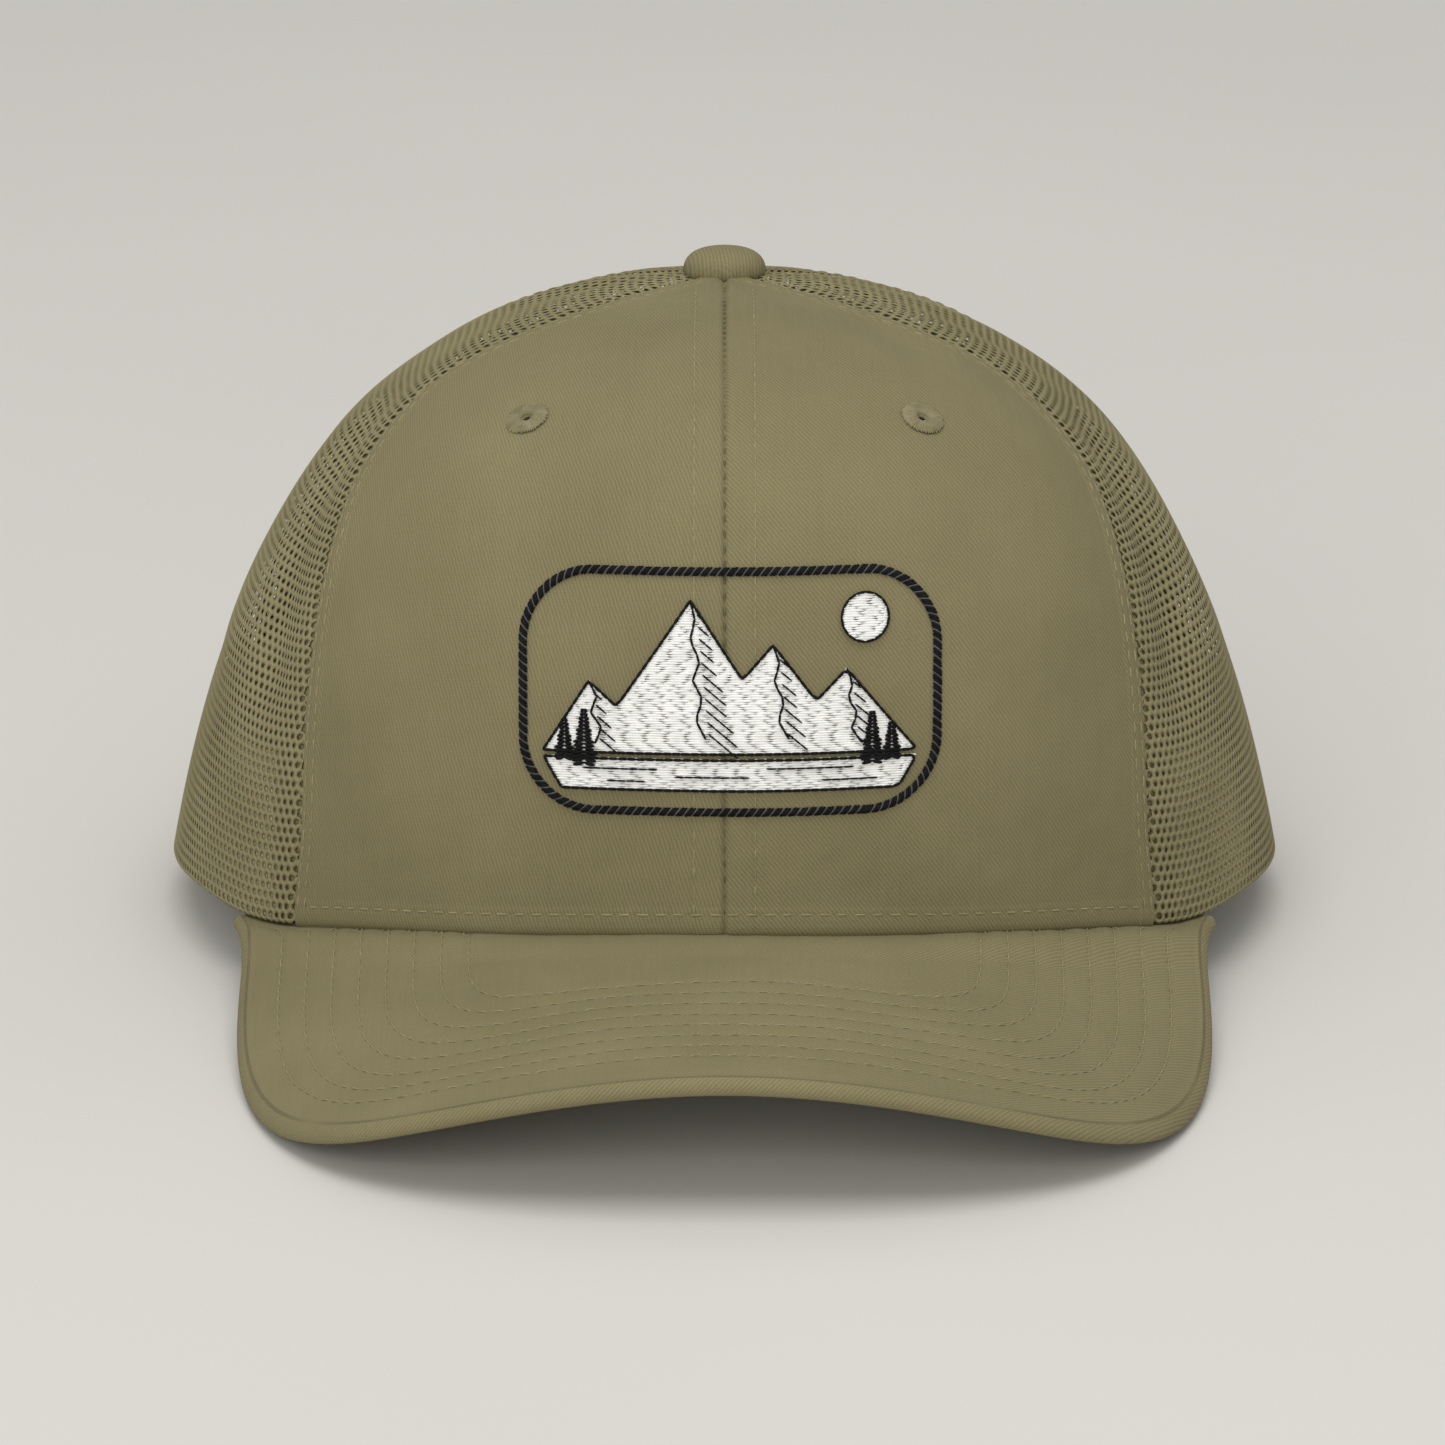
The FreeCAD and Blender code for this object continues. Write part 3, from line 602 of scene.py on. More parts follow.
def plain_weave(name, dark, light, pitch=0.5, roughness=0.85, distance=0.00006):
    """Tape, scrim or ribbon: square over-and-under weave placed by object position."""
    nodes = Nodes(name, roughness=roughness, sheen=0.08, specular=0.25)
    split = nodes.node("SeparateXYZ", {0: nodes.place()})
    step = 2000 * math.pi / pitch
    x, y, z = split.outputs
    warp, weft = [nodes.math("SINE", nodes.math("MULTIPLY", along, step))
                  for along in (nodes.math("ADD", x, y), nodes.math("SUBTRACT", z, y))]
    weave = half(nodes, nodes.math("MULTIPLY", warp, weft))
    fuzz = nodes.noise(3600, 2)
    tone = nodes.total((weave, 0.5), (fuzz, 0.5), (nodes.noise(40, 2), 0.3))
    colour = nodes.blend(nodes.ramp(tone, 0.35, 0.95), dark, light)
    return nodes.finish(colour, nodes.math("ADD", weave, fuzz), distance, 0.7)


def moulded(name, dark, light, roughness=0.42):
    """Moulded plastic: fine grain, faint flow marks, rubbed sheen."""
    nodes = Nodes(name, roughness=roughness, specular=0.5)
    grain = nodes.noise(2600, 3)
    flow = nodes.noise(120, 3)
    colour = nodes.blend(nodes.ramp(flow, 0.3, 0.7), dark, light)
    rough = nodes.ramp(nodes.total((flow, 0.6), (grain, 0.4)), 0.3, 0.7, roughness - 0.08, roughness + 0.12)
    return nodes.finish(colour, grain, 0.00002, 0.5, rough)


def pressed_metal(name):
    nodes = Nodes(name, roughness=0.4, specular=0.5)
    nodes.shader.inputs["Metallic"].default_value = 0.9
    scratch = nodes.noise(900, 4)
    colour = nodes.blend(scratch, srgb(120, 116, 104), srgb(160, 156, 144))
    return nodes.finish(colour, scratch, 0.00002, 0.4, nodes.ramp(scratch, 0.3, 0.7, 0.32, 0.5))


OLIVE = srgb(103, 96, 67)
TWILL = twill("olive_twill", OLIVE, srgb(140, 132, 100), angle=0.65)
STEEP_TWILL = twill("olive_steep_twill", OLIVE, srgb(140, 132, 100), angle=0.32)
VISOR_TWILL = twill("olive_visor_twill", OLIVE, srgb(141, 133, 101), angle=0.75)
BUTTON_TWILL = twill("olive_button_twill", OLIVE, srgb(141, 133, 101), 0.62, 0.14)
KNIT = knit("olive_mesh_yarn", srgb(118, 111, 77), srgb(157, 149, 112))
STITCH = thread("olive_stitch_thread", srgb(126, 117, 85), srgb(152, 143, 109))
VISOR_STITCH = thread("olive_visor_thread", srgb(122, 114, 82), srgb(147, 139, 105))
# Centre seam thread, coloured much darker than the other stitching: a real thread whose dark colour is
# painted shade of the seam's groove and of the gaps between its stitches.
NEEDLE_LINE_PAINTED_SHADE = thread("olive_seam_thread_painted_shade", srgb(84, 79, 56), srgb(106, 100, 72))
EYELET_THREAD = thread("olive_eyelet_thread", srgb(108, 101, 71), srgb(144, 136, 104))
# Sweatband cloth, painted far paler than the real olive sweatband: painted light, so the mesh holes in front
# of it look lit instead of shaded. The back binding shares this cloth.
BAND_CLOTH_PAINTED_LIGHT = twill("olive_sweatband_twill_painted_light", srgb(156, 149, 114), srgb(194, 186, 150), pitch=0.5)
TAPE = plain_weave("olive_tape", srgb(104, 98, 68), srgb(138, 131, 99))
BUCKRAM = plain_weave("white_buckram", srgb(168, 165, 152), srgb(222, 219, 208), 1.1, distance=0.00015)
DARK_THREAD = thread("charcoal_thread", srgb(10, 10, 11), srgb(26, 26, 28), 0.0, 0.7, 0.12)
# Grey strands of the border: a painted highlight on the black satin, not a grey thread of its own.
SATIN_HIGHLIGHT_THREAD = thread("grey_thread_painted_highlight", srgb(58, 58, 59), srgb(96, 96, 95))
WHITE_THREAD = thread("white_thread", srgb(226, 226, 223), srgb(250, 250, 248))
STRAP_PLASTIC = moulded("olive_plastic", srgb(88, 81, 54), srgb(108, 100, 70))
BOARD_PLASTIC = moulded("board_plastic", srgb(205, 204, 198), srgb(222, 221, 215), 0.5)
METAL = pressed_metal("pressed_metal")
LABEL = plain_weave("label_ribbon", srgb(22, 22, 24), srgb(48, 48, 50), 0.35, 0.6)


# ---------------------------------------------------------------- crown panels

STITCH_INSET = (1.7, 3.5)       # edge stitching of the front panels, from their side seams
TWIN = 4.9                      # topstitching each side of the front centre seam
HEM_STITCH = 3.3                # stitch row above the visor
HEM_DROP = 0.006                # how far the front hem hangs over the visor, as a share of the way up
BAND_FADE = 0.8                 # over which the padding beside a seam ends
cloth_wave = Ripple(34)
pucker_wave = Ripple(7)


def dense_ends(count):
    """0 to 1 in count points, closer together towards both ends."""
    way = np.linspace(0, 1, count)
    return way - 0.75 * np.sin(2 * math.pi * way) / (2 * math.pi)


def climb(azimuth, way):
    """Millimetres of cloth from the hem up a meridian."""
    azimuth, way = np.broadcast_arrays(np.asarray(azimuth, float), np.asarray(way, float))
    path = skin(azimuth[..., None], way[..., None] * np.linspace(0, 1, 33))
    return np.linalg.norm(np.diff(path, axis=-2), axis=-1).sum(-1) * np.sign(way)


def front_places(azimuth, way):
    """Millimetres to the centre seam, to the side seam and to the hem, for places on the front."""
    reach = radius_at(azimuth, way) * math.pi / 180
    return np.abs(azimuth) * reach, (front_seam(way) - np.abs(azimuth)) * reach, climb(azimuth, way)


def front_swell(azimuth, way):
    """Depth of the front cloth's soft unevenness and of the padding beside its seams."""
    to_centre, to_side, up = front_places(azimuth, way)
    wave = cloth_wave(azimuth * 1.6, up) * 0.22 + pucker_wave(azimuth * 1.6, up) * 0.04
    depth = -wave * smooth(to_side / 12) * smooth(up / 12)
    depth -= 0.10 * distance_band(to_centre, 0.9, TWIN)
    depth -= 0.20 * distance_band(to_side, 0.8, 4.4)
    return depth - 0.14 * distance_band(up, 0.8, HEM_STITCH + 0.8)


def front_relief(azimuth, way):
    """Depth of the front cloth: its swell, sunk at its seams and stitch rows."""
    to_centre, to_side, up = front_places(azimuth, way)
    depth = front_swell(azimuth, way)
    depth += 0.5 * bump_at(to_centre, 0, 0.42) + 0.62 * bump_at(np.maximum(to_side, 0), 0, 0.6)
    depth += 0.6 * bump_at(np.maximum(up + 0.5, 0), 0, 0.5)
    for distance, rows in ((to_centre, (TWIN,)), (to_side, STITCH_INSET), (up, (HEM_STITCH,))):
        for row in rows:
            ripple = 1 + 0.45 * np.sin(2 * math.pi * (up + 0.7 * to_centre) / 3.0)
            depth += 0.09 * bump_at(distance, row, 0.42) * ripple
    return depth


def distance_band(distance, start, stop):
    """1 between start and stop, falling to 0 over BAND_FADE."""
    return smooth(np.minimum(distance - start, stop - distance) / BAND_FADE + 0.5)


def eyelet_frame(side):
    azimuth, way = np.array(side * EYELET_AZIMUTH), np.array(EYELET_WAY)
    return skin(azimuth, way), skin_normal(azimuth, way)


def make_front_panels():
    for side, word in ((-1, "left"), (1, "right")):
        rows, columns = 180, 180
        top = way_at_radius(np.array(side * 26.0), TOP_HOLE)
        way = -HEM_DROP + (top + HEM_DROP) * dense_ends(columns)[None, :] + np.zeros((rows, 1))
        azimuth = side * front_seam(way) * dense_ends(rows)[:, None]
        outer = crown(azimuth, way, front_relief(azimuth, way))
        inner = crown(azimuth, way, np.full(way.shape, 0.83))
        centre, _ = eyelet_frame(side)
        keep = np.linalg.norm(outer - centre, axis=2) > 1.5
        to_centre, _, up = front_places(azimuth, way)
        uv = np.stack([side * to_centre, up], -1)
        points, faces = thick_shell(outer, inner, keep)
        if side < 0:
            faces = [group[:, ::-1] for group in faces]
        add_mesh("front_twill_" + word, points, faces, STEEP_TWILL if side < 0 else TWILL, "olive_twill",
                 replaces=["front_panel_" + word], uv=np.concatenate([uv.reshape(-1, 2)] * 2))


# ---------------------------------------------------------------- knitted mesh panels

NET_PITCH = 1.8                 # from hole to hole along a row
NET_ROW = 1.66                  # from row to row
NET_HOLE = (0.34, 0.38)         # half width and half height of a hole
NET_LAYERS = (0.03, 0.13, 0.25)  # depths of the strands' outside, middle and inside
HEM_ROLL = 0.8                  # radius at which the mesh turns under at the hem
HEM_TURN = 2.6                  # how far it turns, in radians


def net_cells(width, height):
    """Centres of a staggered lattice that covers a flat panel, X from -width to width, Y from -2."""
    rows = int((height + 3) / NET_ROW)
    columns = int(2 * width / NET_PITCH) + 3
    j, i = np.meshgrid(np.arange(rows), np.arange(columns), indexing="ij")
    x = (i - columns // 2) * NET_PITCH + (j % 2) * NET_PITCH / 2
    return np.stack([x.ravel(), (j * NET_ROW - 1.9).ravel()], 1)


def cell_outline():
    """Points round one cell: six corners and the middles of its sides."""
    top, shoulder = NET_ROW * 2 / 3, NET_ROW / 3
    half_width = NET_PITCH / 2
    corners = np.array([(half_width, -shoulder), (half_width, shoulder), (0, top),
                        (-half_width, shoulder), (-half_width, -shoulder), (0, -top)])
    middles = (corners + np.roll(corners, -1, 0)) / 2
    return np.stack([corners, middles], 1).reshape(-1, 2)


def net_sag(from_front, up):
    """Depth of the fold that the limp mesh makes behind the stiff front, and of the swell after it."""
    high = smooth((up - 30) / 15) * (1 - smooth((up - 78) / 26))
    return high * (1.9 * bump_at(from_front, 13.5, 6.5) - 1.2 * bump_at(from_front, 36, 15))


def make_mesh_panel(name, node, edge_a, edge_b, arch=False):
    """Knit with real holes: a hexagonal net laid flat, then wrapped on the crown between two seams."""
    middle = (edge_a(0.3) + edge_b(0.3)) / 2
    top = way_at_radius(np.array(middle), TOP_HOLE)
    ways = np.linspace(-0.02, top, 500)
    risen = lengths(skin(np.full(ways.shape, middle), ways))
    risen -= np.interp(0.0, ways, risen)

    cells = net_cells(62.0, risen[-1])
    outline = cell_outline()
    turn = np.arctan2(outline[:, 1], outline[:, 0])
    ring = outline[None] + cells[:, None]
    wobble = 1 + rng.normal(0, 0.07, (len(cells), 1))
    hole = np.stack([np.cos(turn) * NET_HOLE[0], np.sin(turn) * NET_HOLE[1]], 1)

    def wrap(flat):
        """Flat cloth position to azimuth, way, distance to the nearer seam and roll under the hem."""
        up = flat[..., 1]
        roll = np.clip((HEM_ROLL - up) / HEM_ROLL, 0, HEM_TURN)
        lift = np.where(roll > 0, HEM_ROLL * (1 - np.sin(roll)), up)
        tuck = np.where(roll > 0, HEM_ROLL * (1 - np.cos(roll)), 0.0)
        way = np.interp(lift, risen, ways)
        start, stop = edge_a(way), edge_b(way)
        reach = radius_at(np.full(way.shape, middle), way) * math.pi / 180
        azimuth = middle + flat[..., 0] / reach
        low, high = np.minimum(start, stop), np.maximum(start, stop)
        outside = (azimuth < low) | (azimuth > high)
        azimuth = np.clip(azimuth, low, high)
        near = np.minimum(azimuth - low, high - azimuth) * reach
        if not arch:
            tuck = tuck + net_sag(np.abs(azimuth - start) * reach, up)
        return azimuth, way, near, tuck, outside

    azimuth, way, near, _, outside = wrap(cells)
    wobble = wobble * (1 + 0.3 * bump_at(near, 0, 1.6))[:, None]
    hole = cells[:, None] + hole[None] * wobble[..., None] + rng.normal(0, 0.03, (len(cells), 1, 2))
    inside = ~outside & (cells[:, 1] < risen[-1] - 0.5)
    if arch:
        spot = skin(azimuth, way)
        inside &= (spot[:, 0] / (ARCH_HALF_WIDTH - 0.9)) ** 2 + (spot[:, 2] / (ARCH_HEIGHT - 0.9)) ** 2 > 1
    ring, hole = ring[inside], hole[inside]

    key = np.round(ring.reshape(-1, 2) * 500).astype(int)
    _, first, index = np.unique(key, axis=0, return_index=True, return_inverse=True)
    index = index.reshape(ring.shape[:2])
    knots = ring.reshape(-1, 2)[first]
    knots = knots + rng.normal(0, 0.025, knots.shape)

    def layer(flat, sunk):
        azimuth, way, near, tuck, _ = wrap(flat)
        depth = sunk + 0.55 * bump_at(near, 0, 0.9)
        loose = smooth(near / 14) * smooth((flat[..., 1] - BAND_HEIGHT) / 14)
        wave = cloth_wave(azimuth * 1.6, flat[..., 1]) * 0.2 * loose
        return crown(azimuth, way, depth + tuck - wave)

    flat_hole = hole.reshape(-1, 2)
    near_face, core, far_face = NET_LAYERS
    points = np.concatenate([layer(knots, near_face), layer(knots, far_face), layer(flat_hole, core)])
    uv = np.concatenate([knots, knots, flat_hole])
    count = len(knots)
    inner = 2 * count + np.arange(len(flat_hole)).reshape(hole.shape[:2])
    after = np.roll(index, -1, 1)
    inner_after = np.roll(inner, -1, 1)
    front = np.stack([index, after, inner_after, inner], -1).reshape(-1, 4)
    rear = np.stack([after + count, index + count, inner, inner_after], -1).reshape(-1, 4)
    sides = np.stack([index, after], -1).reshape(-1, 2)
    _, spot, uses = np.unique(np.sort(sides, 1), axis=0, return_index=True, return_counts=True)
    edge = sides[spot[uses == 1]]
    border = np.stack([edge[:, 1], edge[:, 0], edge[:, 0] + count, edge[:, 1] + count], 1)
    faces = [np.concatenate([front, rear, border])]
    add_mesh(name, points, faces, KNIT, "olive_mesh", replaces=[node], uv=uv)


def make_mesh_panels():
    for side, word in ((-1, "left"), (1, "right")):
        front, rear, back = [lambda way, seam=seam, side=side: side * seam(way)
                             for seam in (front_seam, rear_seam, back_seam)]
        make_mesh_panel("side_knit_" + word, "side_mesh_panel_" + word, front, rear)
        make_mesh_panel("back_knit_" + word, "back_mesh_panel_" + word, rear, back, arch=True)


# ---------------------------------------------------------------- thread on the crown

def seam_line(seam, side, offset, low, high):
    """Line on the crown beside a seam, offset in millimetres towards the back, and its normals."""
    way = np.linspace(low, high, 240)
    azimuth = side * seam(way)
    azimuth = azimuth + side * np.degrees(offset / radius_at(azimuth, way))
    depth = np.full(way.shape, -0.02)
    if offset and abs(azimuth[0]) < 60:
        depth = front_swell(azimuth, way) + 0.05
    return crown(azimuth, way, depth), skin_normal(azimuth, way)


def make_crown_stitches():
    rows = []
    for side in (-1, 1):
        rows.append(seam_line(centre_seam, 1, side * TWIN, 0.012, 0.93))
        for inset in STITCH_INSET:
            rows.append(seam_line(front_seam, side, -inset, 0.012, 0.955))
        for offset in (-TWIN, TWIN):
            rows.append(seam_line(rear_seam, side, offset, 0.012, 0.93))
        rows.append(seam_line(back_seam, 1, side * TWIN, 0.46, 0.93))
    azimuth = np.linspace(-46.0, 46.0, 500)
    way = way_at_height(azimuth, HEM_STITCH)
    rows.append((crown(azimuth, way, front_swell(azimuth, way) + 0.05), skin_normal(azimuth, way)))
    add_parts("crown_topstitching", [stitches(line, normals, 3.0, 2.1, 0.17, 0.14) for line, normals in rows],
              STITCH, "olive_thread")

    needle = []
    for side in (-1, 1):
        for seam, top, sunk in ((front_seam, 0.955, 0.62), (rear_seam, 0.93, 0.5)):
            line, normals = seam_line(seam, side, 0.0, 0.0, top)
            needle.append(stitches(line - normals * sunk, normals, 3.1, 1.5, 0.26, 0.2))
    add_parts("seam_thread", needle, STITCH, "olive_thread")
    # The centre seam's dark thread is painted shade in its groove.
    line, normals = seam_line(centre_seam, 1, 0.0, 0.0, 0.95)
    add_parts("centre_seam_thread", [stitches(line - normals * 0.42, normals, 2.6, 1.3, 0.15, 0.12)],
              NEEDLE_LINE_PAINTED_SHADE, "olive_thread")


# ---------------------------------------------------------------- visor

def row_distance(x, forward):
    """Distance in plan from each point to the nearest stitch row."""
    best = np.full(x.shape, 1e3)
    u = np.linspace(-1, 1, 700)
    for row in range(VISOR_ROWS):
        row_x, row_f = visor_row(u, row)
        for part in range(x.shape[0]):
            gap = (x[part][:, None] - row_x) ** 2 + (forward[part][:, None] - row_f) ** 2
            best[part] = np.minimum(best[part], gap.min(1))
    return np.sqrt(best)


def visor_root(u):
    point = crown(u * VISOR_END_ANGLE, 0 * u, np.full(np.shape(u), VISOR_ROOT_DEPTH))
    return point[..., 0], -point[..., 1] - FRONT_REACH


def visor_soft(x, forward):
    """How far the soft unevenness of the visor's cloth rises."""
    return cloth_wave(x, forward * 1.3) * 0.14 + pucker_wave(x, forward) * 0.03


def make_visor():
    """Covers and rolled edge as one closed cushion of cloth, sunk along the stitch rows."""
    across, along, roll_steps = 300, 120, 9
    roll = VISOR_THICK / 2
    u = np.linspace(-END_COVER, END_COVER, across)[:, None]
    root_x, root_f = visor_root(u)
    edge_x, edge_f = visor_outline(u, roll)
    v = np.linspace(0, 1, along)[None, :]
    x, forward = root_x + (edge_x - root_x) * v, root_f + (edge_f - root_f) * v
    from_row = row_distance(x, forward)
    from_edge = np.hypot(x - edge_x, forward - edge_f)
    groove = 0.20 * bump_at(from_row, 0, 0.75) + 0.10 * bump_at(from_edge, 1.3, 0.8)
    top = visor_place(x, forward, groove - visor_soft(x, forward) * smooth(from_edge / 6))
    bottom = visor_place(x, forward, VISOR_THICK - 0.16 * bump_at(from_row, 0, 0.75))

    turn = np.linspace(math.pi / 2, -math.pi / 2, roll_steps + 2)[1:-1]
    rim = []
    for angle in turn:
        rim_x, rim_f = visor_outline(u[:, 0], roll * (1 - math.cos(angle)))
        rim.append(visor_place(rim_x, rim_f, roll * (1 - math.sin(angle))))
    rim = np.stack(rim, 1)
    loop = np.concatenate([top, rim, bottom[:, ::-1]], 1)
    uv = np.stack([loop[..., 0], -loop[..., 1]], -1)
    walk = np.stack([lengths(row) for row in loop])
    uv[:, along:along + roll_steps, 1] = walk[:, along:along + roll_steps]
    walls, ends = loop_faces(across, loop.shape[1])
    add_mesh("visor_cloth", loop, [walls[:, ::-1], ends], VISOR_TWILL, "olive_twill",
             replaces=["visor_top_cover", "visor_under_cover", "visor_edge_band"], uv=uv)


def make_visor_stitches():
    top, under = [], []
    u = np.linspace(-1, 1, 900)
    for row in range(VISOR_ROWS):
        x, forward = visor_row(u, row)
        slope_x = visor_place(x + 0.5, forward) - visor_place(x - 0.5, forward)
        slope_f = visor_place(x, forward - 0.5) - visor_place(x, forward + 0.5)
        upward = unit(np.cross(slope_x, slope_f))
        for parts, below, way in ((top, 0.13 - visor_soft(x, forward), 1), (under, VISOR_THICK - 0.10, -1)):
            parts.append(stitches(visor_place(x, forward, below), upward * way, 3.05, 2.2, 0.17, 0.2))
    add_parts("visor_stitches_top", top, VISOR_STITCH, "olive_thread")
    add_parts("visor_stitches_under", under, VISOR_STITCH, "olive_thread")


# ---------------------------------------------------------------- button

def make_button():
    """Cloth pulled over a domed shell, gathered into small folds at its rim."""
    turns, rings = 120, 30
    turn = np.arange(turns) * 2 * math.pi / turns
    way = np.linspace(0, 1, rings)
    angle = way * math.pi / 2 * 1.16
    radius = BUTTON_RADIUS * np.sin(np.minimum(angle, math.pi / 2)) ** 0.78
    radius = radius - np.maximum(angle - math.pi / 2, 0) * 3.2
    height = BUTTON_RISE * np.sign(np.cos(angle)) * np.abs(np.cos(angle)) ** 0.8
    fold = 0.10 * np.sin(turn * 17 + 0.6 * np.sin(3 * turn))[:, None] * smooth((way - 0.62) / 0.38)[None, :]
    r = np.maximum(radius[None, :] + fold, 0.02)
    points = np.stack([r * np.cos(turn)[:, None], r * np.sin(turn)[:, None],
                       np.broadcast_to(HEIGHT + 0.3 + height, r.shape)], -1)
    first = np.arange(turns) * rings
    caps = np.stack([first, first[::-1] + rings - 1])
    add_mesh("button_cloth", points, [quads(turns, rings, wrap_rows=True), caps], BUTTON_TWILL,
             "olive_twill", replaces=["button_cover"], uv=points[..., :2])


# ---------------------------------------------------------------- eyelets

def make_eyelets():
    """Each eyelet is a padded ring wrapped in radial satin stitches."""
    for side, word in ((-1, "left"), (1, "right")):
        centre, normal = eyelet_frame(side)
        turn = np.arange(64) * 2 * math.pi / 64
        tube = np.linspace(0, 2 * math.pi, 14, endpoint=False)
        pad = turned(centre, normal, turn, 2.25 + 1.35 * np.cos(tube), 0.10 + 0.42 * np.sin(tube))
        count, core = 62, 0.80
        turn = (np.arange(count) + rng.normal(0, 0.12, count)) * 2 * math.pi / count
        way = np.linspace(0, 1, 9)
        outside = 3.75 + rng.normal(0, 0.09, count)
        reach = core + (outside[:, None] - core) * way
        rise = 0.62 * np.sin(math.pi * (0.08 + 0.9 * way)) ** 0.75 - 0.08 - 0.55 * (1 - smooth(way / 0.14))
        threads = centre + spokes(normal, turn)[:, None] * reach[..., None] + normal * rise[:, None]
        girth = 0.10 + 0.11 * way
        satin = tubes(threads, np.broadcast_to(normal, threads.shape), girth[None, :], 0.13)
        add_parts("eyelet_thread_" + word, [(pad, [quads(64, 14, True, True)[:, ::-1]]), satin],
                  EYELET_THREAD, "olive_thread", replaces=["eyelet_" + word])


# ---------------------------------------------------------------- sweatband, label and back binding

def band_bed(azimuth):
    """Depth at which the sweatband's back lies: on the mesh, or on the tapes and the buckram."""
    turn = np.abs((azimuth + 180) % 360 - 180)
    front = 1 - smooth((turn - 48.8) / 3.0)
    bed = 0.30 + 1.65 * front
    for seam in BAND_SEAMS:
        bed += (0.62 - 0.22 * front) * (1 - smooth((np.abs(turn - seam) - 2.4) / 1.0))
    return bed


def section_loop(azimuths, corners, bed=None):
    """Closed strip: each corner of its section is (height, depth), the same at every azimuth."""
    heights, depths = np.array(corners).T[:, None]
    depths = depths + 0 * azimuths[:, None]
    if bed is not None:
        near, far = depths.min(), depths.max()
        depths = far - (far - depths) * (far - bed(azimuths)[:, None]) / (far - near)
    return band(azimuths[:, None] + 0 * heights, heights + 0 * azimuths[:, None], depths)


def rounded_strip(low, high, near, far, steps=6, rows=16):
    """Section of a strip with rounded long edges, as (height, depth) pairs."""
    middle, half = (near + far) / 2, (far - near) / 2
    turn = np.linspace(0, math.pi, steps + 1)
    top = [(high - half + half * math.sin(t), middle - half * math.cos(t)) for t in turn]
    bottom = [(low + half - half * math.sin(t), middle + half * math.cos(t)) for t in turn]
    levels = np.linspace(low + half, high - half, rows + 2)[1:-1]
    return top + [(h, far) for h in levels[::-1]] + bottom + [(h, near) for h in levels]


def closed_strip(name, azimuths, corners, material, slot, node, relief=0.0, bed=None):
    points = section_loop(azimuths, corners, bed)
    if relief:
        shift = relief * cloth_wave(azimuths[:, None] * 1.6, points[..., 2])
        inward = unit(-points * [1, 1, 0])
        points = points + inward * (shift * 0.5)[..., None]
    walk = lengths(points[len(points) // 2])
    uv = np.stack(np.broadcast_arrays(azimuths[:, None] * 1.66, walk[None, :]), -1)
    walls, ends = loop_faces(*points.shape[:2])
    add_mesh(name, points, [walls[:, ::-1], ends], material, slot, replaces=node, uv=uv)


def inside_row(azimuths, height, depth, *sizes):
    """Stitches along a level line on the inside of the cap."""
    level = np.full(azimuths.shape, height)
    normals = skin_normal(azimuths, way_at_height(azimuths, height))
    return stitches(band(azimuths, level, np.full(azimuths.shape, depth)), -normals, *sizes)


def make_sweatband():
    end = 180 - math.degrees(math.asin((ARCH_HALF_WIDTH + 1) / HALF_WIDTH))
    azimuths = np.linspace(-end, end, 260)
    corners = rounded_strip(0.35, BAND_HEIGHT, BAND_DEPTH + 0.05, BAND_DEPTH + BAND_THICK)
    # The sweatband's pale cloth is painted light behind the mesh.
    closed_strip("sweatband_cloth", azimuths, corners, BAND_CLOTH_PAINTED_LIGHT, "olive_sweatband",
                 ["sweatband_backing", "sweatband_facing"], relief=0.12, bed=band_bed)
    fine = np.linspace(-end + 0.8, end - 0.8, 900)
    face = BAND_DEPTH + BAND_THICK
    rows = [inside_row(fine, height, face + 0.02, 3.2, 2.3, 0.2, 0.15) for height in (BAND_HEIGHT - 2.2, 2.0)]
    add_parts("sweatband_stitching", rows, STITCH, "olive_thread")

    spans = np.linspace(137.0, 150.0, 40)
    near = face + 0.07
    corners = rounded_strip(6.0, 24.0, near, near + 0.38, 4, 24)
    closed_strip("label_cloth_piece", spans, corners, LABEL, "label_cloth", ["blank_label"])
    rows = [inside_row(spans, height, near + 0.4, 2.4, 1.7, 0.16, 0.12) for height in (7.0, 23.0)]
    add_parts("label_stitching", rows, STITCH, "olive_thread")


def make_tapes():
    """Woven tapes sewn over the seam allowances on the inside."""
    for name, seam, side, ahead, low, end in (
            ("seam_tape_front_left", front_seam, -1, 1.78, 0.004, 19.0),
            ("seam_tape_front_right", front_seam, 1, 1.78, 0.004, 19.0),
            ("seam_tape_rear_left", rear_seam, -1, 0.56, 0.004, 13.0),
            ("seam_tape_rear_right", rear_seam, 1, 0.56, 0.004, 13.0),
            ("seam_tape_back_centre", back_seam, 1, 0.56, 0.44, 13.0)):
        bed = np.interp(TAPE_ACROSS, [-1.6, -0.75, -0.3, 0.3, 0.75, 1.6, 6],
                        [ahead, max(ahead, 0.86), 1.8, 1.8, 0.86, 0.58, 0.56])
        section = [(d, n + (0.2 if abs(d) > 5.9 else 0)) for d, n in zip(TAPE_ACROSS, bed)]
        section += [(d, max(n, 0.85) + (0.35 if abs(d) > 5.9 else 0.5) + 0.08 * (abs(abs(d) - 4.6) > 0.5))
                    for d, n in zip(TAPE_ACROSS[::-1], bed[::-1])]
        offset, depth = np.array(section).T[:, None]
        top = way_at_radius(seam(np.array(0.9)), end)
        way = np.linspace(low, float(top), 150)[:, None]
        azimuth = side * seam(way)
        azimuth = azimuth + side * np.degrees(offset / radius_at(azimuth, way))
        points = crown(azimuth, way + 0 * azimuth, depth + 0 * azimuth)
        add_mesh(name + "_cloth", points, loop_faces(*points.shape[:2]), TAPE, "olive_tape", replaces=[name])


def arch_spot(turn, out):
    """Azimuth and way of places on the crown, out millimetres outside the back opening."""
    x, z = (ARCH_HALF_WIDTH + out) * np.cos(turn), (ARCH_HEIGHT + out) * np.sin(turn)
    return facing_spot(x, np.maximum(z, 0.3), back=True)


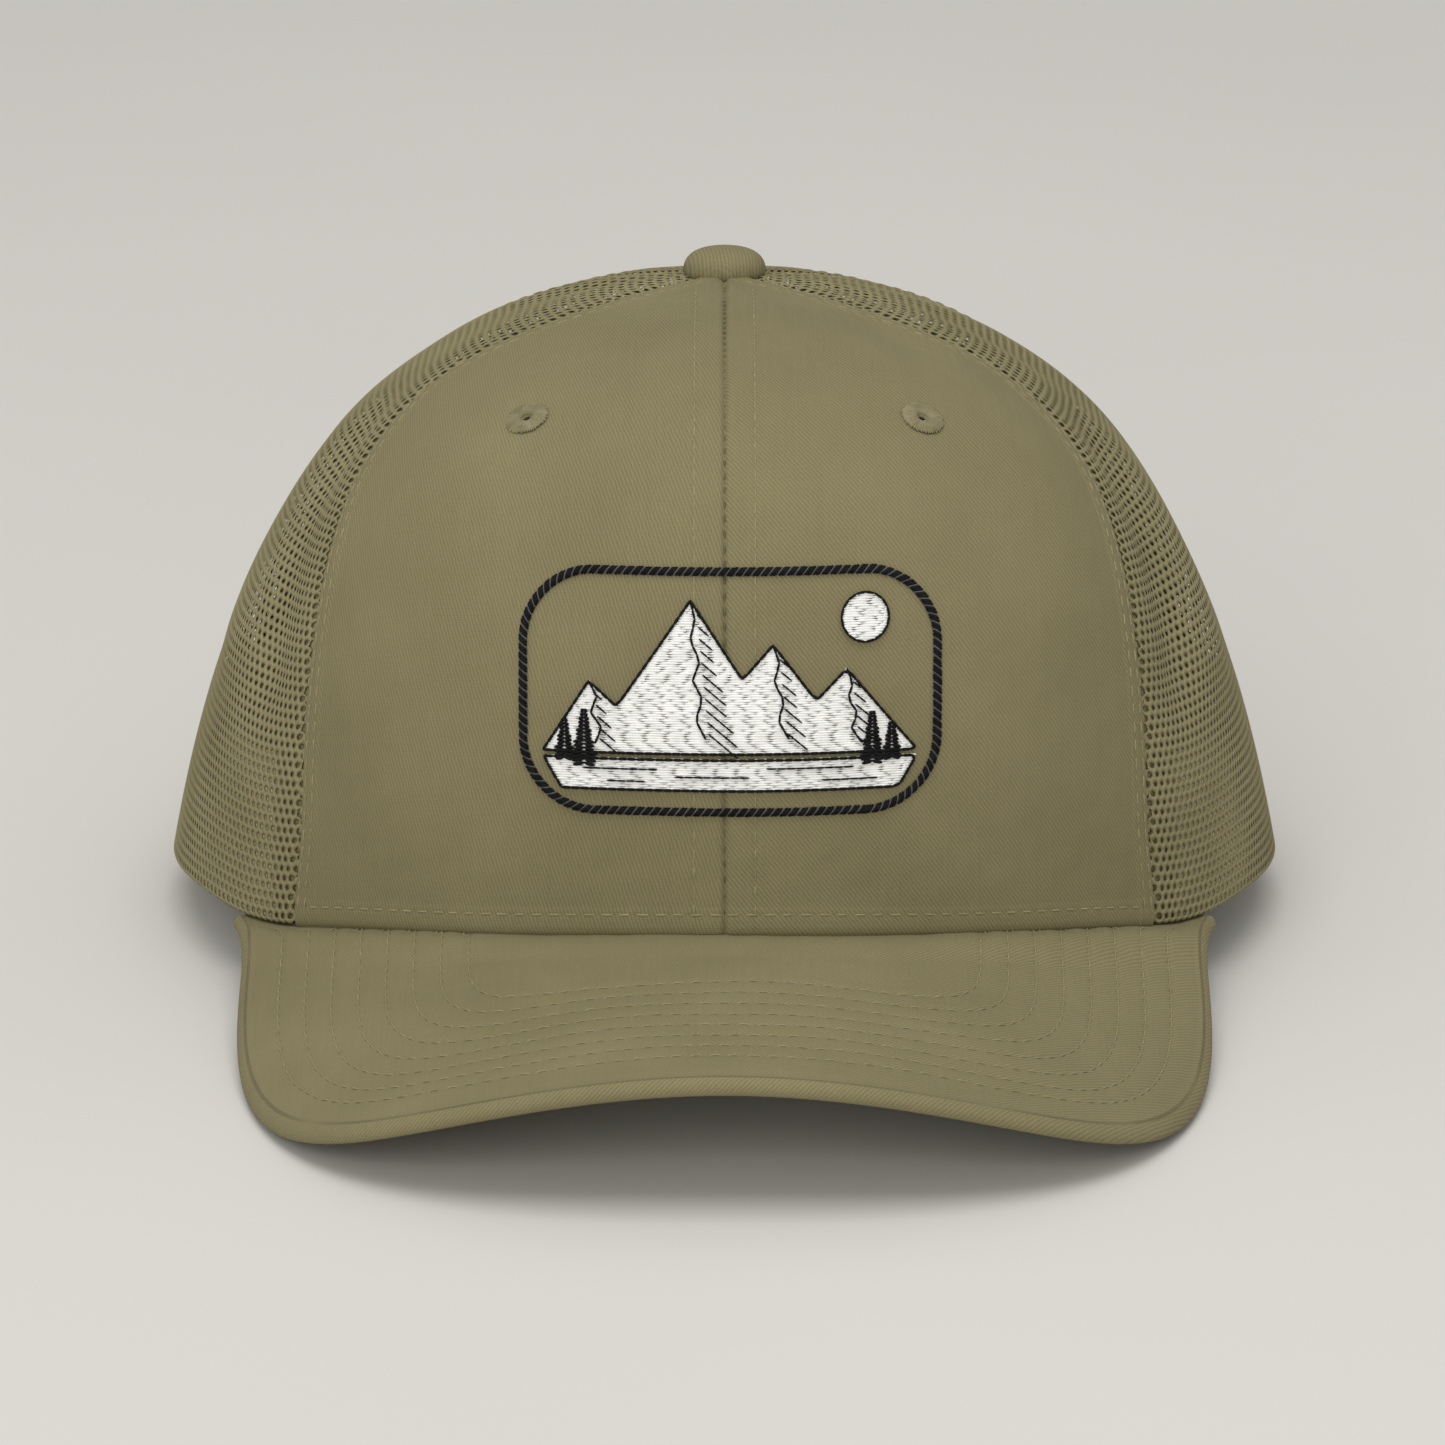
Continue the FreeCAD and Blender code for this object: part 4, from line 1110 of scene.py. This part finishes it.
def make_binding():
    """Tape folded over the edge of the back opening, with its two stitch rows."""
    low = math.asin(0.4 / ARCH_HEIGHT)
    turn = np.linspace(low, math.pi - low, 200)
    section = [(6.4, -0.62), (5.2, -0.66), (3.6, -0.62), (1.6, -0.66), (0.2, -0.62), (-0.5, -0.5),
               (-0.98, -0.1), (-1.12, 0.4), (-0.98, 0.9), (-0.5, 1.28), (0.2, 1.42), (1.6, 1.44), (3.6, 1.42),
               (5.2, 1.44), (6.4, 1.42), (6.95, 1.15), (6.9, 0.88), (3.0, 0.86), (0.25, 0.86), (0.05, 0.7),
               (0.05, 0.1), (0.25, -0.04), (3.0, -0.04), (6.9, -0.06), (6.95, -0.35)]
    out, depth = np.array(section).T[:, None]
    azimuth, way = arch_spot(turn[:, None], out)
    points = crown(azimuth, way, depth + 0 * azimuth)
    walk = lengths(points[len(points) // 2])
    uv = np.stack(np.broadcast_arrays((turn * 44)[:, None], walk[None, :]), -1)
    # The binding takes the sweatband's cloth, with its painted light.
    add_mesh("arch_binding", points, loop_faces(*points.shape[:2]), BAND_CLOTH_PAINTED_LIGHT, "olive_twill",
             replaces=["back_opening_binding"], uv=uv)

    fine = np.linspace(low + 0.02, math.pi - low - 0.02, 700)
    parts = []
    for offset in (0.9, 5.6):
        azimuth, way = arch_spot(fine, offset)
        normal = skin_normal(azimuth, way)
        for sunk, face in ((-0.66, 1), (1.44, -1)):
            line = crown(azimuth, way, sunk + 0 * azimuth)
            parts.append(stitches(line, face * normal, 3.0, 2.1, 0.2, 0.16))
    add_parts("binding_stitching", parts, STITCH, "olive_thread")


# ---------------------------------------------------------------- snap straps

STRAP_CENTRES = [STRAP_FIRST + step * STRAP_PITCH for step in range(STRAP_STEPS)]
STRAP_LENGTH = STRAP_CENTRES[-1] + STRAP_END
EDGE_STEPS = (0.0, 0.08, 0.24, 0.5)
STUD_PROFILE = [(2.1, -0.3), (1.62, 0.05), (1.5, 0.3), (1.5, 0.95), (1.62, 1.12), (2.0, 1.22), (2.1, 1.38),
                (2.06, 1.56), (1.86, 1.9), (1.55, 2.06), (0.9, 2.1), (0.5, 1.95), (0.06, 1.93)]  # reach, rise


def strap_azimuth(distance, side):
    radius = HALF_WIDTH * BACK_MERIDIAN[0] - 2.0
    return 180 - side * (STRAP_ROOT - np.degrees(distance / radius))


def strap_sheet(holes):
    """Flat strap: places (s along, t across) and faces of one side."""
    half = STRAP_WIDTH / 2
    across = np.array([-half + step for step in EDGE_STEPS] + list(np.linspace(-half + 1.6, half - 1.6, 9))
                      + [half - step for step in EDGE_STEPS[::-1]])
    first, base = STRAP_FIRST - STRAP_PITCH / 2, -TAB_LENGTH
    along = np.array([base + step for step in EDGE_STEPS] + list(np.arange(base + 1.5, first - 0.7, 0.8))
                     + [first])
    plain = np.stack(np.meshgrid(along, across, indexing="ij"), -1)
    patches = [(plain, [quads(len(along), len(across))])]
    ways = np.array([0, 0.02, 0.06, 0.13, 0.3, 0.5, 0.7, 0.86, 0.94, 0.98, 1.0])
    for centre in STRAP_CENTRES:
        low = centre - STRAP_PITCH / 2
        high = STRAP_LENGTH if centre == STRAP_CENTRES[-1] else centre + STRAP_PITCH / 2
        sides = np.linspace(low, high, 11)
        loop = np.concatenate([np.stack([np.full(len(across) - 1, high), across[:-1]], 1),
                               np.stack([sides[::-1][:-1], np.full(10, half)], 1),
                               np.stack([np.full(len(across) - 1, low), across[::-1][:-1]], 1),
                               np.stack([sides[:-1], np.full(10, -half)], 1)])
        gap = loop - [centre, 0]
        turn = np.arctan2(gap[:, 1], gap[:, 0])
        core = STRAP_HOLE if holes else 0.05
        circle = np.stack([centre + core * np.cos(turn), core * np.sin(turn)], 1)
        grid = circle[:, None] + (loop - circle)[:, None] * ways[None, :, None]
        patches.append((grid, [quads(len(loop), len(ways), wrap_rows=True)]))
    places, (faces,) = join_parts(patches)
    _, kept, index = np.unique(np.round(places * 400).astype(int), axis=0, return_index=True,
                               return_inverse=True)
    return places[kept], index.ravel()[faces]


def make_strap(name, side, holes, nodes, depth_at):
    places, faces = strap_sheet(holes)
    s, t = places[:, 0], places[:, 1]
    half = STRAP_WIDTH / 2
    tip = np.clip((s - STRAP_LENGTH + half) / half, 0, 1)
    reach = half * np.sqrt(1 - 0.8 * tip ** 2)
    near_hole = np.full(s.shape, 9.0)
    for centre in STRAP_CENTRES:
        near_hole = np.minimum(near_hole, np.hypot(s - centre, t))
    keep_round = 1 - smooth((near_hole - STRAP_HOLE) / 1.6)
    squeeze = reach / half
    shown = t * (squeeze + (1 - squeeze) * keep_round)
    edge = np.minimum(reach - np.abs(shown), np.minimum(STRAP_LENGTH - s, s + TAB_LENGTH))
    if holes:
        edge = np.minimum(edge, near_hole - STRAP_HOLE)
    edge = np.clip(edge / 0.5, 0, 1)
    girth = STRAP_PLATE / 2 * (0.3 + 0.7 * np.sqrt(1 - (1 - edge) ** 2))
    middle = depth_at(s) + STRAP_PLATE / 2
    azimuth = strap_azimuth(s, side)
    height = STRAP_LOW + half + shown
    outer = band(azimuth, height, middle - girth)
    inner = band(azimuth, height, middle + girth)
    count = len(places)
    if side < 0:
        faces = faces[:, ::-1]
    parts = [(np.concatenate([outer, inner]),
              [np.concatenate([faces, faces[:, ::-1] + count, rim_faces(faces, count)])])]
    if not holes:
        turns = 28
        turn = np.arange(turns) * 2 * math.pi / turns
        stud_reach, stud_rise = np.array(STUD_PROFILE).T
        rings = len(STUD_PROFILE)
        first = np.arange(turns) * rings
        caps = np.stack([first[::-1], first + rings - 1])
        for spot in np.array(STRAP_CENTRES):
            angle = strap_azimuth(spot, side)
            base = band(angle, np.array(STRAP_LOW + half), depth_at(spot))
            normal = skin_normal(angle, way_at_height(angle, STRAP_LOW + half))
            points = turned(base, normal, turn, stud_reach, stud_rise)
            parts.append((points, [quads(turns, rings, wrap_rows=True), caps]))
    piece = add_parts(name, parts, STRAP_PLASTIC, "olive_plastic", body=None, replaces=nodes)
    line = band(strap_azimuth(np.array([-4.0, 5.0]), side), np.array([9.5, 9.5]), np.array([2.1, 2.1]))
    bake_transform(piece)


def make_straps():
    make_strap("hole_strap_plastic", 1, True, ["hole_strap", "hole_strap_tab"],
               lambda s: STRAP_DEPTH + 0 * s)
    make_strap("stud_strap_plastic", -1, False, ["stud_strap", "stud_strap_tab"],
               lambda s: STRAP_DEPTH + STRAP_STEP * smooth((s - 2) / 5))
    rows = []
    for side in (-1, 1):
        for distance in (-2.6, -10.6):
            heights = np.linspace(3.2, 15.8, 60)
            azimuth = strap_azimuth(np.full(60, distance), side)
            spot = way_at_height(azimuth, heights)
            rows.append(stitches(crown(azimuth, spot, np.full(60, -0.66)), skin_normal(azimuth, spot),
                                 2.4, 1.8, 0.2, 0.16))
    add_parts("strap_tack_stitching", rows, STITCH, "olive_thread")


# ---------------------------------------------------------------- embroidery

class FrontMap:
    """Fast lookup of the front's surface over its x and z."""

    def __init__(self):
        self.x = np.linspace(-38, 38, 153)
        self.z = np.linspace(24, 70, 93)
        azimuth, way = facing_spot(self.x[:, None] + EMBLEM_SHIFT, self.z[None, :])
        self.point = crown(azimuth, way, front_swell(azimuth, way))
        self.normal = skin_normal(azimuth, way)

    def __call__(self, x, z, lift):
        i = np.clip((x - self.x[0]) / (self.x[1] - self.x[0]), 0, len(self.x) - 1.001)
        j = np.clip((z - self.z[0]) / (self.z[1] - self.z[0]), 0, len(self.z) - 1.001)
        a, b = i.astype(int), j.astype(int)
        p, q = (i - a)[..., None], (j - b)[..., None]

        def mix(grid):
            return ((grid[a, b] * (1 - p) + grid[a + 1, b] * p) * (1 - q)
                    + (grid[a, b + 1] * (1 - p) + grid[a + 1, b + 1] * p) * q)
        normal = unit(mix(self.normal))
        return mix(self.point) + normal * np.asarray(lift, float)[..., None], normal


front_map = FrontMap()


def thread_run(starts, ends, lift, rise, width, height, rings=5):
    """Threads laid on the front from starts to ends, arrays of (x, z)."""
    way = np.linspace(0, 1, rings)
    spots = starts[:, None] + (ends - starts)[:, None] * way[None, :, None]
    arch = lift + rise * np.sin(math.pi * way) ** 0.7
    centres, normals = front_map(spots[..., 0], spots[..., 1],
                                 arch[None, :] + rng.normal(0, 0.015, (len(starts), 1)))
    return tubes(centres, normals, width, height)


def fill_rows(shape, pitch, length):
    """Brick-laid level stitches that fill a polygon: starts and ends."""
    flat = np.asarray(shape, float)
    after = np.roll(flat, -1, 0)
    starts, ends = [], []
    for level in np.arange(flat[:, 1].min() + pitch / 2, flat[:, 1].max(), pitch):
        crosses = (flat[:, 1] > level) != (after[:, 1] > level)
        a, b = flat[crosses], after[crosses]
        cuts = np.sort(a[:, 0] + (level - a[:, 1]) / (b[:, 1] - a[:, 1]) * (b[:, 0] - a[:, 0]))
        for low, high in zip(cuts[::2], cuts[1::2]):
            offset = rng.uniform(0, length)
            breaks = np.arange(math.floor(low / length) * length + offset, high, length)
            marks = np.concatenate([[low], breaks[(breaks > low + 0.5) & (breaks < high - 0.5)], [high]])
            for one, two in zip(marks[:-1], marks[1:]):
                starts.append((one, level))
                ends.append((two, level))
    return np.array(starts), np.array(ends)


def outline_run(points, width, closed=False):
    """Dark line of short overlapping stitches along a polyline of (x, z)."""
    points = np.asarray(points, float)
    if closed:
        points = np.concatenate([points, points[:1]])
    total = lengths(points)[-1]
    count = max(int(round(total / 1.5)), 1)
    marks = np.linspace(0, total, count + 1)
    spots = at_lengths(points, marks)
    step = unit(spots[1:] - spots[:-1])
    return thread_run(spots[:-1] - step * 0.12, spots[1:] + step * 0.12, 0.62, 0.08, width, 0.2)


def rounded_rectangle(half_width, low, high, corner):
    """1600 points evenly spaced round a rectangle with rounded corners."""
    loop = []
    for cx, cz, start in ((half_width - corner, low + corner, -90), (half_width - corner, high - corner, 0),
                          (corner - half_width, high - corner, 90), (corner - half_width, low + corner, 180)):
        for turn in np.radians(np.linspace(start, start + 90, 40)):
            loop.append((cx + corner * math.cos(turn), cz + corner * math.sin(turn)))
    loop = np.array(loop + loop[:1])
    return at_lengths(loop, np.linspace(0, lengths(loop)[-1], 1600, endpoint=False))


def make_border():
    """Corded satin border: slanted dark strands, every third one grey as a painted highlight of the satin's
    sheen.
    """
    middle = rounded_rectangle(BORDER_HALF_WIDTH - BORDER_STROKE / 2, BORDER_LOW + BORDER_STROKE / 2,
                               BORDER_HIGH - BORDER_STROKE / 2, BORDER_CORNER - BORDER_STROKE / 2)
    ring = np.concatenate([middle, middle[:1]])
    total = lengths(ring)[-1]
    count = int(round(total / 0.47))
    marks = (np.arange(count) + 0.5) * total / count
    spots = at_lengths(ring, marks)
    ahead = unit(at_lengths(ring, (marks + 0.5) % total) - at_lengths(ring, (marks - 0.5) % total))
    across = np.stack([-ahead[:, 1], ahead[:, 0]], 1)
    reach = 0.66 + rng.normal(0, 0.03, (count, 1))
    slant = 0.62
    starts, ends = spots - across * reach - ahead * slant, spots + across * reach + ahead * slant
    # Every third strand is grey: a painted highlight of the satin's sheen.
    pale = np.arange(count) % 3 == 2
    add_parts("border_thread", [thread_run(starts[~pale], ends[~pale], 0.12, 0.50, 0.27, 0.22, 8)],
              DARK_THREAD, "charcoal_thread", replaces=["embroidery_border"])
    add_parts("border_highlight_thread", [thread_run(starts[pale], ends[pale], 0.05, 0.47, 0.16, 0.18, 8)],
              SATIN_HIGHLIGHT_THREAD, "charcoal_thread")


PEAKS = [(-30.5, 37), (-23, 48.5), (-18.5, 44.5), (-6.5, 61.5), (2, 49), (7, 54.5), (14, 45.5), (19, 50.5),
         (30.5, 37)]
GROUND = [(-27.5, 31), (27.5, 31), (30.5, 36), (-30.5, 36)]
TREES = ((-27.0, 36.0, 7.0), (-23.8, 35.2, 9.4), (23.2, 35.4, 8.8), (26.4, 36.0, 6.6))    # x, foot, height
BRANCH_STEP = 0.62
SUMMITS = (((-6.5, 61.5), 22, 11), ((-23, 48.5), 10, 5), ((7, 54.5), 15, 7), ((19, 50.5), 12, 6))


def ridges():
    """Crooked lines that run down from each summit and part its lit side from its shaded side."""
    lines = []
    for (x, z), depth, count in SUMMITS:
        way = np.linspace(0, 1, count // 2 + 3)
        swing = 0.9 * np.where(np.arange(len(way)) % 2, 1, -0.6) * np.minimum(way * 4, 1)
        lines.append(np.stack([x + swing + 1.6 * way, z - depth * way], 1))
    return lines


def hatches():
    """Short shading strokes on the right-hand slopes of the peaks."""
    lines = []
    for (x, z), depth, count in SUMMITS:
        for number in range(count):
            low = (number + 1.2) / (count + 0.6)
            start = np.array([x + 0.9 + 0.10 * depth * low, z - depth * low])
            reach = 1.2 + depth * 0.24 * low + rng.uniform(-0.5, 0.5)
            lines.append([start, start + [reach * 0.75, -reach * 0.62]])
    return lines


def make_motif():
    turn = np.linspace(0, 2 * math.pi, 60, endpoint=False)
    sun = np.stack([22 + 3.9 * np.cos(turn), 58.5 + 3.9 * np.sin(turn)], 1)
    for name, shape, nodes in (("peaks_thread", PEAKS, ["embroidery_peaks"]),
                               ("ground_thread", GROUND, ["embroidery_ground"]), ("sun_thread", sun, [])):
        add_parts(name, [thread_run(*fill_rows(shape, 0.40, 3.4), 0.22, 0.12, 0.24, 0.16)], WHITE_THREAD,
                  "white_thread", replaces=nodes)

    lines = [outline_run(PEAKS, 0.25, closed=True), outline_run(GROUND, 0.25, closed=True),
             outline_run(sun, 0.22, closed=True)]
    lines += [outline_run(ridge, 0.2) for ridge in ridges()]
    lines += [outline_run(line, 0.15) for line in hatches()]
    for x0, x1, z in ((-24, -12, 34.4), (-9, 3, 33.2), (6, 20, 34.6), (-20, -14, 32.4), (15, 24, 32.6)):
        lines.append(outline_run([(x0, z), (x1, z)], 0.15))
    for x, low, tall in TREES:
        for level in range(int(tall / BRANCH_STEP)):
            width = 0.35 + (tall - level * BRANCH_STEP) * 0.15 * (1 + 0.35 * ((level * BRANCH_STEP) % 1.9))
            z = low + level * BRANCH_STEP
            left, tip, right = np.array([[x - width, z - 0.4], [x, z], [x + width, z - 0.4]])
            starts, ends = np.stack([left, tip]), np.stack([tip, right])
            lines.append(thread_run(starts, ends, 0.62, 0.1, 0.3, 0.2))
    add_parts("motif_outline_thread", lines, DARK_THREAD, "charcoal_thread")


# ---------------------------------------------------------------- build everything

make_front_panels()
make_mesh_panels()
make_crown_stitches()
make_visor()
make_visor_stitches()
make_button()
make_eyelets()
make_sweatband()
make_tapes()
make_binding()
make_straps()
make_border()
make_motif()

for node, material in (("front_buckram_left", BUCKRAM), ("front_buckram_right", BUCKRAM),
                       ("visor_board", BOARD_PLASTIC), ("button_shell", METAL), ("button_post", METAL),
                       ("button_clinch", METAL), ("seam_tape_front_centre", TAPE)):
    carried = bpy.data.objects[node]
    for place in carried.material_slots:
        place.material = material


# ---------------------------------------------------------------- floor, light and camera

WARM_WHITE = (1.0, 0.99, 0.97)
CAMERA_AIM = 21.8               # height of the place it looks at, in millimetres
CAMERA_RISE = 12.3              # degrees above the hem's plane
CAMERA_DISTANCE = 1.5           # metres
CAMERA_SIDE = 0.00035           # metres to the left
LENS = 214.0


def make_floor():
    nodes = Nodes("pale_floor", roughness=0.75, specular=0.3)
    nodes.finish(nodes.blend(nodes.noise(3.0, 3), srgb(205, 203, 199), srgb(214, 212, 208)))
    side, back, high, bend = 6.0, 5.0, 4.0, 1.6
    profile = [(-side, 0.0)] + [(back - bend + bend * math.sin(t), bend - bend * math.cos(t))
                                for t in np.linspace(0, math.pi / 2, 24)] + [(back, high)]
    corners = [(x, y, z) for x in (-side, side) for y, z in profile]
    count = len(profile)
    faces = [(i, i + count, i + count + 1, i + 1) for i in range(count - 1)]
    mesh = bpy.data.meshes.new("floor")
    mesh.from_pydata(corners, [], faces)
    for face in mesh.polygons:
        face.use_smooth = True
    mesh.materials.append(nodes.material)
    floor = bpy.data.objects.new("floor", mesh)
    bpy.context.scene.collection.objects.link(floor)


def area_light(name, place, target, width, depth, power):
    light = bpy.data.lights.new(name, "AREA")
    light.shape = "RECTANGLE"
    light.size, light.size_y, light.energy, light.color = width, depth, power, WARM_WHITE
    item = bpy.data.objects.new(name, light)
    item.location = place
    item.rotation_euler = (Vector(target) - Vector(place)).to_track_quat("-Z", "Y").to_euler()
    bpy.context.scene.collection.objects.link(item)


def make_lights():
    world = bpy.data.worlds.new("studio")
    world.use_nodes = True
    world.node_tree.nodes["Background"].inputs[0].default_value = WARM_WHITE + (1,)
    world.node_tree.nodes["Background"].inputs[1].default_value = 0.55
    bpy.context.scene.world = world
    area_light("top_light", (0.0, -0.35, 1.9), (0, 0.0, 0.06), 1.5, 1.3, 18)
    area_light("front_light", (-0.5, -2.35, 1.1), (0, 0, 0.05), 1.6, 1.2, 24)


def make_camera():
    target = Vector(to_frame((0.0, 0.0, CAMERA_AIM)))
    rise = math.radians(CAMERA_RISE) + TILT
    back = Vector((0.0, -math.cos(rise), math.sin(rise)))
    lens = bpy.data.cameras.new("camera")
    lens.sensor_width, lens.lens = 36.0, LENS
    lens.clip_start, lens.clip_end = 0.05, 40.0
    camera = bpy.data.objects.new("camera", lens)
    camera.location = target + back * CAMERA_DISTANCE - Vector((CAMERA_SIDE, 0, 0))
    camera.rotation_euler = (-back).to_track_quat("-Z", "Y").to_euler()
    bpy.context.scene.collection.objects.link(camera)
    bpy.context.scene.camera = camera


make_floor()
make_lights()
make_camera()
bpy.context.scene.view_settings.view_transform = "Standard"
